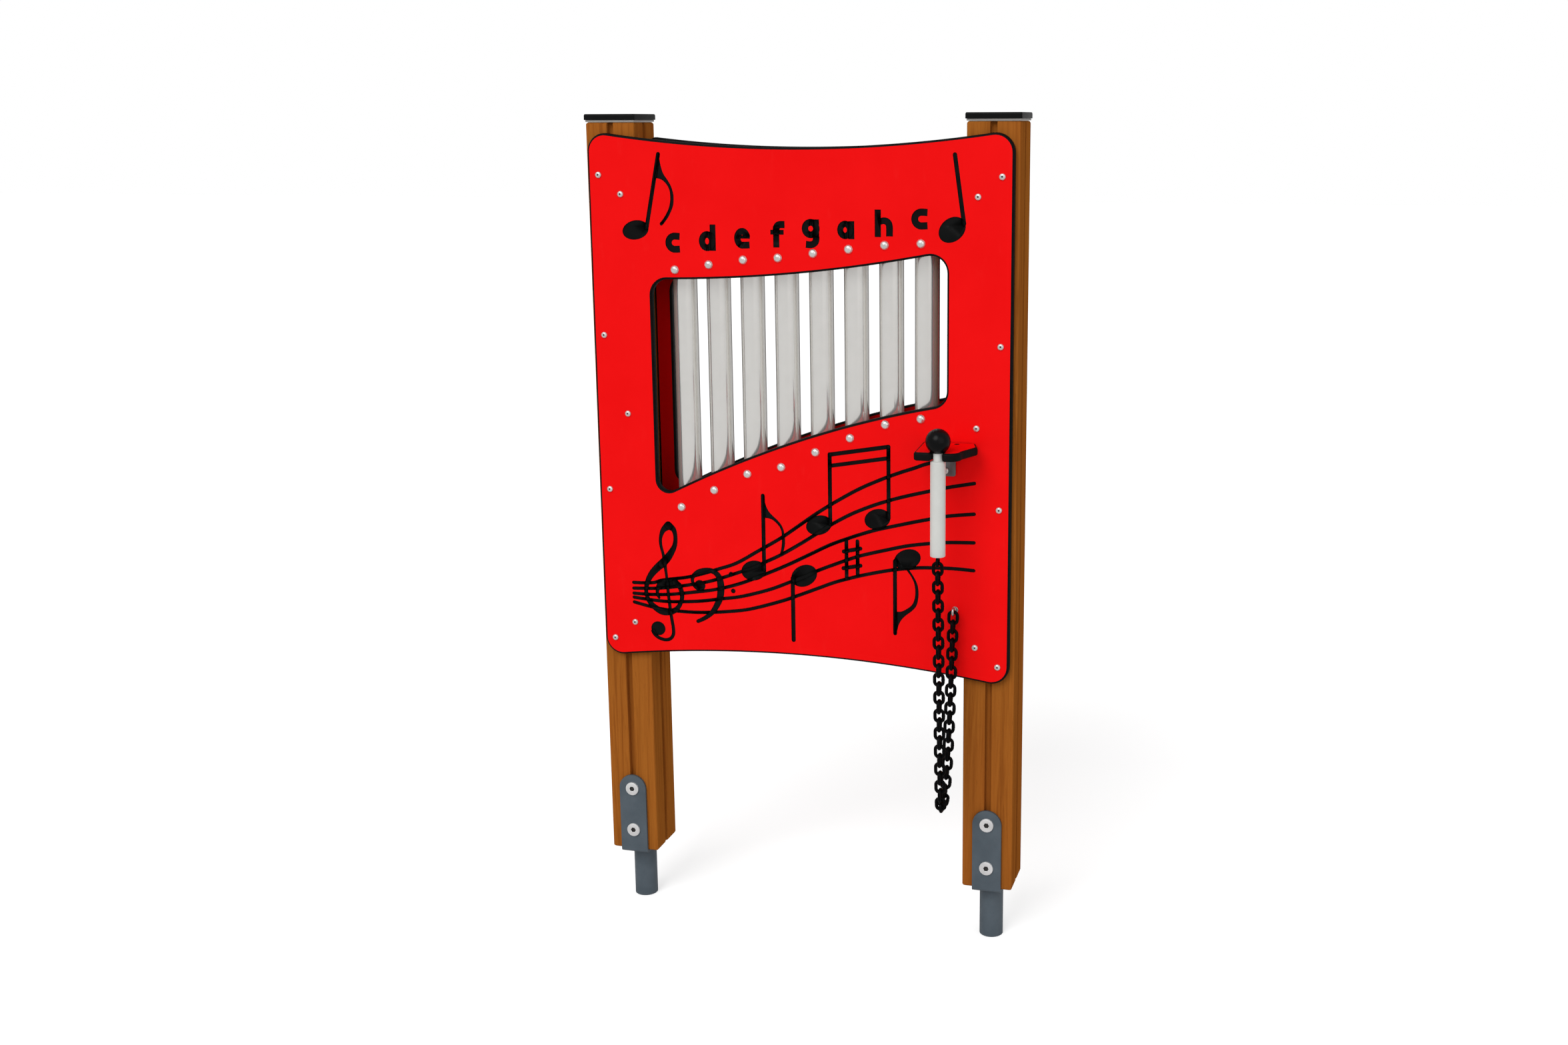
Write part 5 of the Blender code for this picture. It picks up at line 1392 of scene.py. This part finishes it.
def build_strand(name, node_name, body, hinge, foot, count, flat_links):
    """Links that alternate by a quarter turn, each with a weld on one long side."""
    top = hinge - Vector((0, 0, CHAIN_WIRE_RADIUS - CHAIN_LINK_FUSE / 2))
    joints, pitch = strand_joints(top, foot, count, flat_links)
    shape = bmesh.new()
    path = link_path(pitch)
    for number, (upper, lower) in enumerate(zip(joints, joints[1:])):
        along = (upper - lower).normalized()
        side = (Vector((1, 0, 0)) - along * along.x).normalized()
        face = along.cross(side)
        if number % 2 == 1:
            side, face = face, -side
        turn = Matrix((side, face, along)).transposed()
        middle = (upper + lower) / 2
        tube_along(shape, [middle + turn @ point for point in path], CHAIN_WIRE_RADIUS,
                   cyclic=True)
        tube_along(shape, [middle + turn @ Vector((path[0].x, 0, z)) for z, _ in CHAIN_WELD],
                   [radius for _, radius in CHAIN_WELD])
    piece(name, shape, CHAIN_COAT, [node_name], body)


def build_chain():
    lift = EYE_WIRE_RADIUS + EYE_CLEARANCE + CHAIN_WIRE_RADIUS
    front_top = Vector((SHELF_X, MALLET_Y, MALLET_EYE_Z - MALLET_EYE_RADIUS + lift))
    rear_top = Vector((SHELF_X + WALL_EYE_OFFSET, PANEL_FACE_Y - WALL_EYE_FROM_PANEL,
                       WALL_EYE_Z - WALL_EYE_RADIUS + lift))
    front_foot = Vector(((front_top.x + rear_top.x) / 2, CHAIN_LOW_Y, CHAIN_LOW_Z))
    rear_foot = front_foot + Vector((0, -CHAIN_OPEN_SHIFT, CHAIN_OPEN_LIFT))
    build_strand("chain_links_front", "chain_front", "front_strand", front_top, front_foot,
                 CHAIN_FRONT_LINKS, 1)
    build_strand("chain_links_rear", "chain_rear", "rear_strand", rear_top, rear_foot,
                 CHAIN_REAR_LINKS, 0)


# Stage and light

def seen_directly(tree):
    """1 for the camera's own rays, also through glass, and 0 for light on the object."""
    rays = node(tree, "ShaderNodeLightPath").outputs
    return node(tree, "ShaderNodeMath",
                {0: rays["Is Camera Ray"], 1: rays["Is Transmission Ray"]},
                operation="MAXIMUM").outputs[0]


def build_stage():
    """A white floor that keeps the shadow."""
    size = 30
    shape = bmesh.new()
    shape.faces.new([shape.verts.new((x * size, y * size, 0))
                     for x, y in ((-1, -1), (1, -1), (1, 1), (-1, 1))])
    floor = holder_of(mesh_of("floor", shape))
    made = bpy.data.materials.new("pale_floor")
    made.use_nodes = True
    tree = made.node_tree
    tree.nodes.clear()
    glow = node(tree, "ShaderNodeMath", {0: seen_directly(tree), 1: FLOOR_GLOW},
                operation="MULTIPLY").outputs[0]
    grey = (FLOOR_GREY, FLOOR_GREY, FLOOR_GREY, 1)
    diffuse = node(tree, "ShaderNodeBsdfDiffuse", {"Color": grey}).outputs[0]
    emission = node(tree, "ShaderNodeEmission", {"Color": WHITE, "Strength": glow}).outputs[0]
    total = node(tree, "ShaderNodeAddShader", {0: diffuse, 1: emission}).outputs[0]
    node(tree, "ShaderNodeOutputMaterial", {"Surface": total})
    floor.data.materials.append(made)


def build_world():
    """White where the camera sees it, and a softer level as light on the object."""
    world = bpy.data.worlds.new("studio")
    bpy.context.scene.world = world
    world.use_nodes = True
    tree = world.node_tree
    tree.nodes.clear()
    level = spread(tree, seen_directly(tree), WORLD_LEVEL, 1.0, 0, 1)
    light = node(tree, "ShaderNodeBackground", {"Color": WHITE, "Strength": level}).outputs[0]
    node(tree, "ShaderNodeOutputWorld", {"Surface": light})


def add_lamp(name, place_at, spread_angle, strength):
    """A far lamp that shines from a place towards the middle of the object."""
    lamp = bpy.data.objects.new(name, bpy.data.lights.new(name, "SUN"))
    lamp.data.angle = math.radians(spread_angle)
    lamp.data.energy = strength
    lamp.location = place_at
    aim = LAMP_TARGET - lamp.location
    lamp.rotation_euler = aim.to_track_quat("-Z", "Y").to_euler()
    bpy.context.scene.collection.objects.link(lamp)


build_posts()
build_caps()
build_anchors()
build_anchor_bolts()
build_sheets()
build_panel_screws()
build_chimes()
build_shelf()
build_bracket()
build_wall_eye()
build_mallet()
build_chain()
build_stage()
build_world()
add_lamp("key", (-0.93, -3.7, 4.1), spread_angle=36, strength=1.45)
add_lamp("fill", (3.2, -3.4, 2.4), spread_angle=50, strength=0.4)

bpy.context.scene.view_settings.view_transform = "Standard"
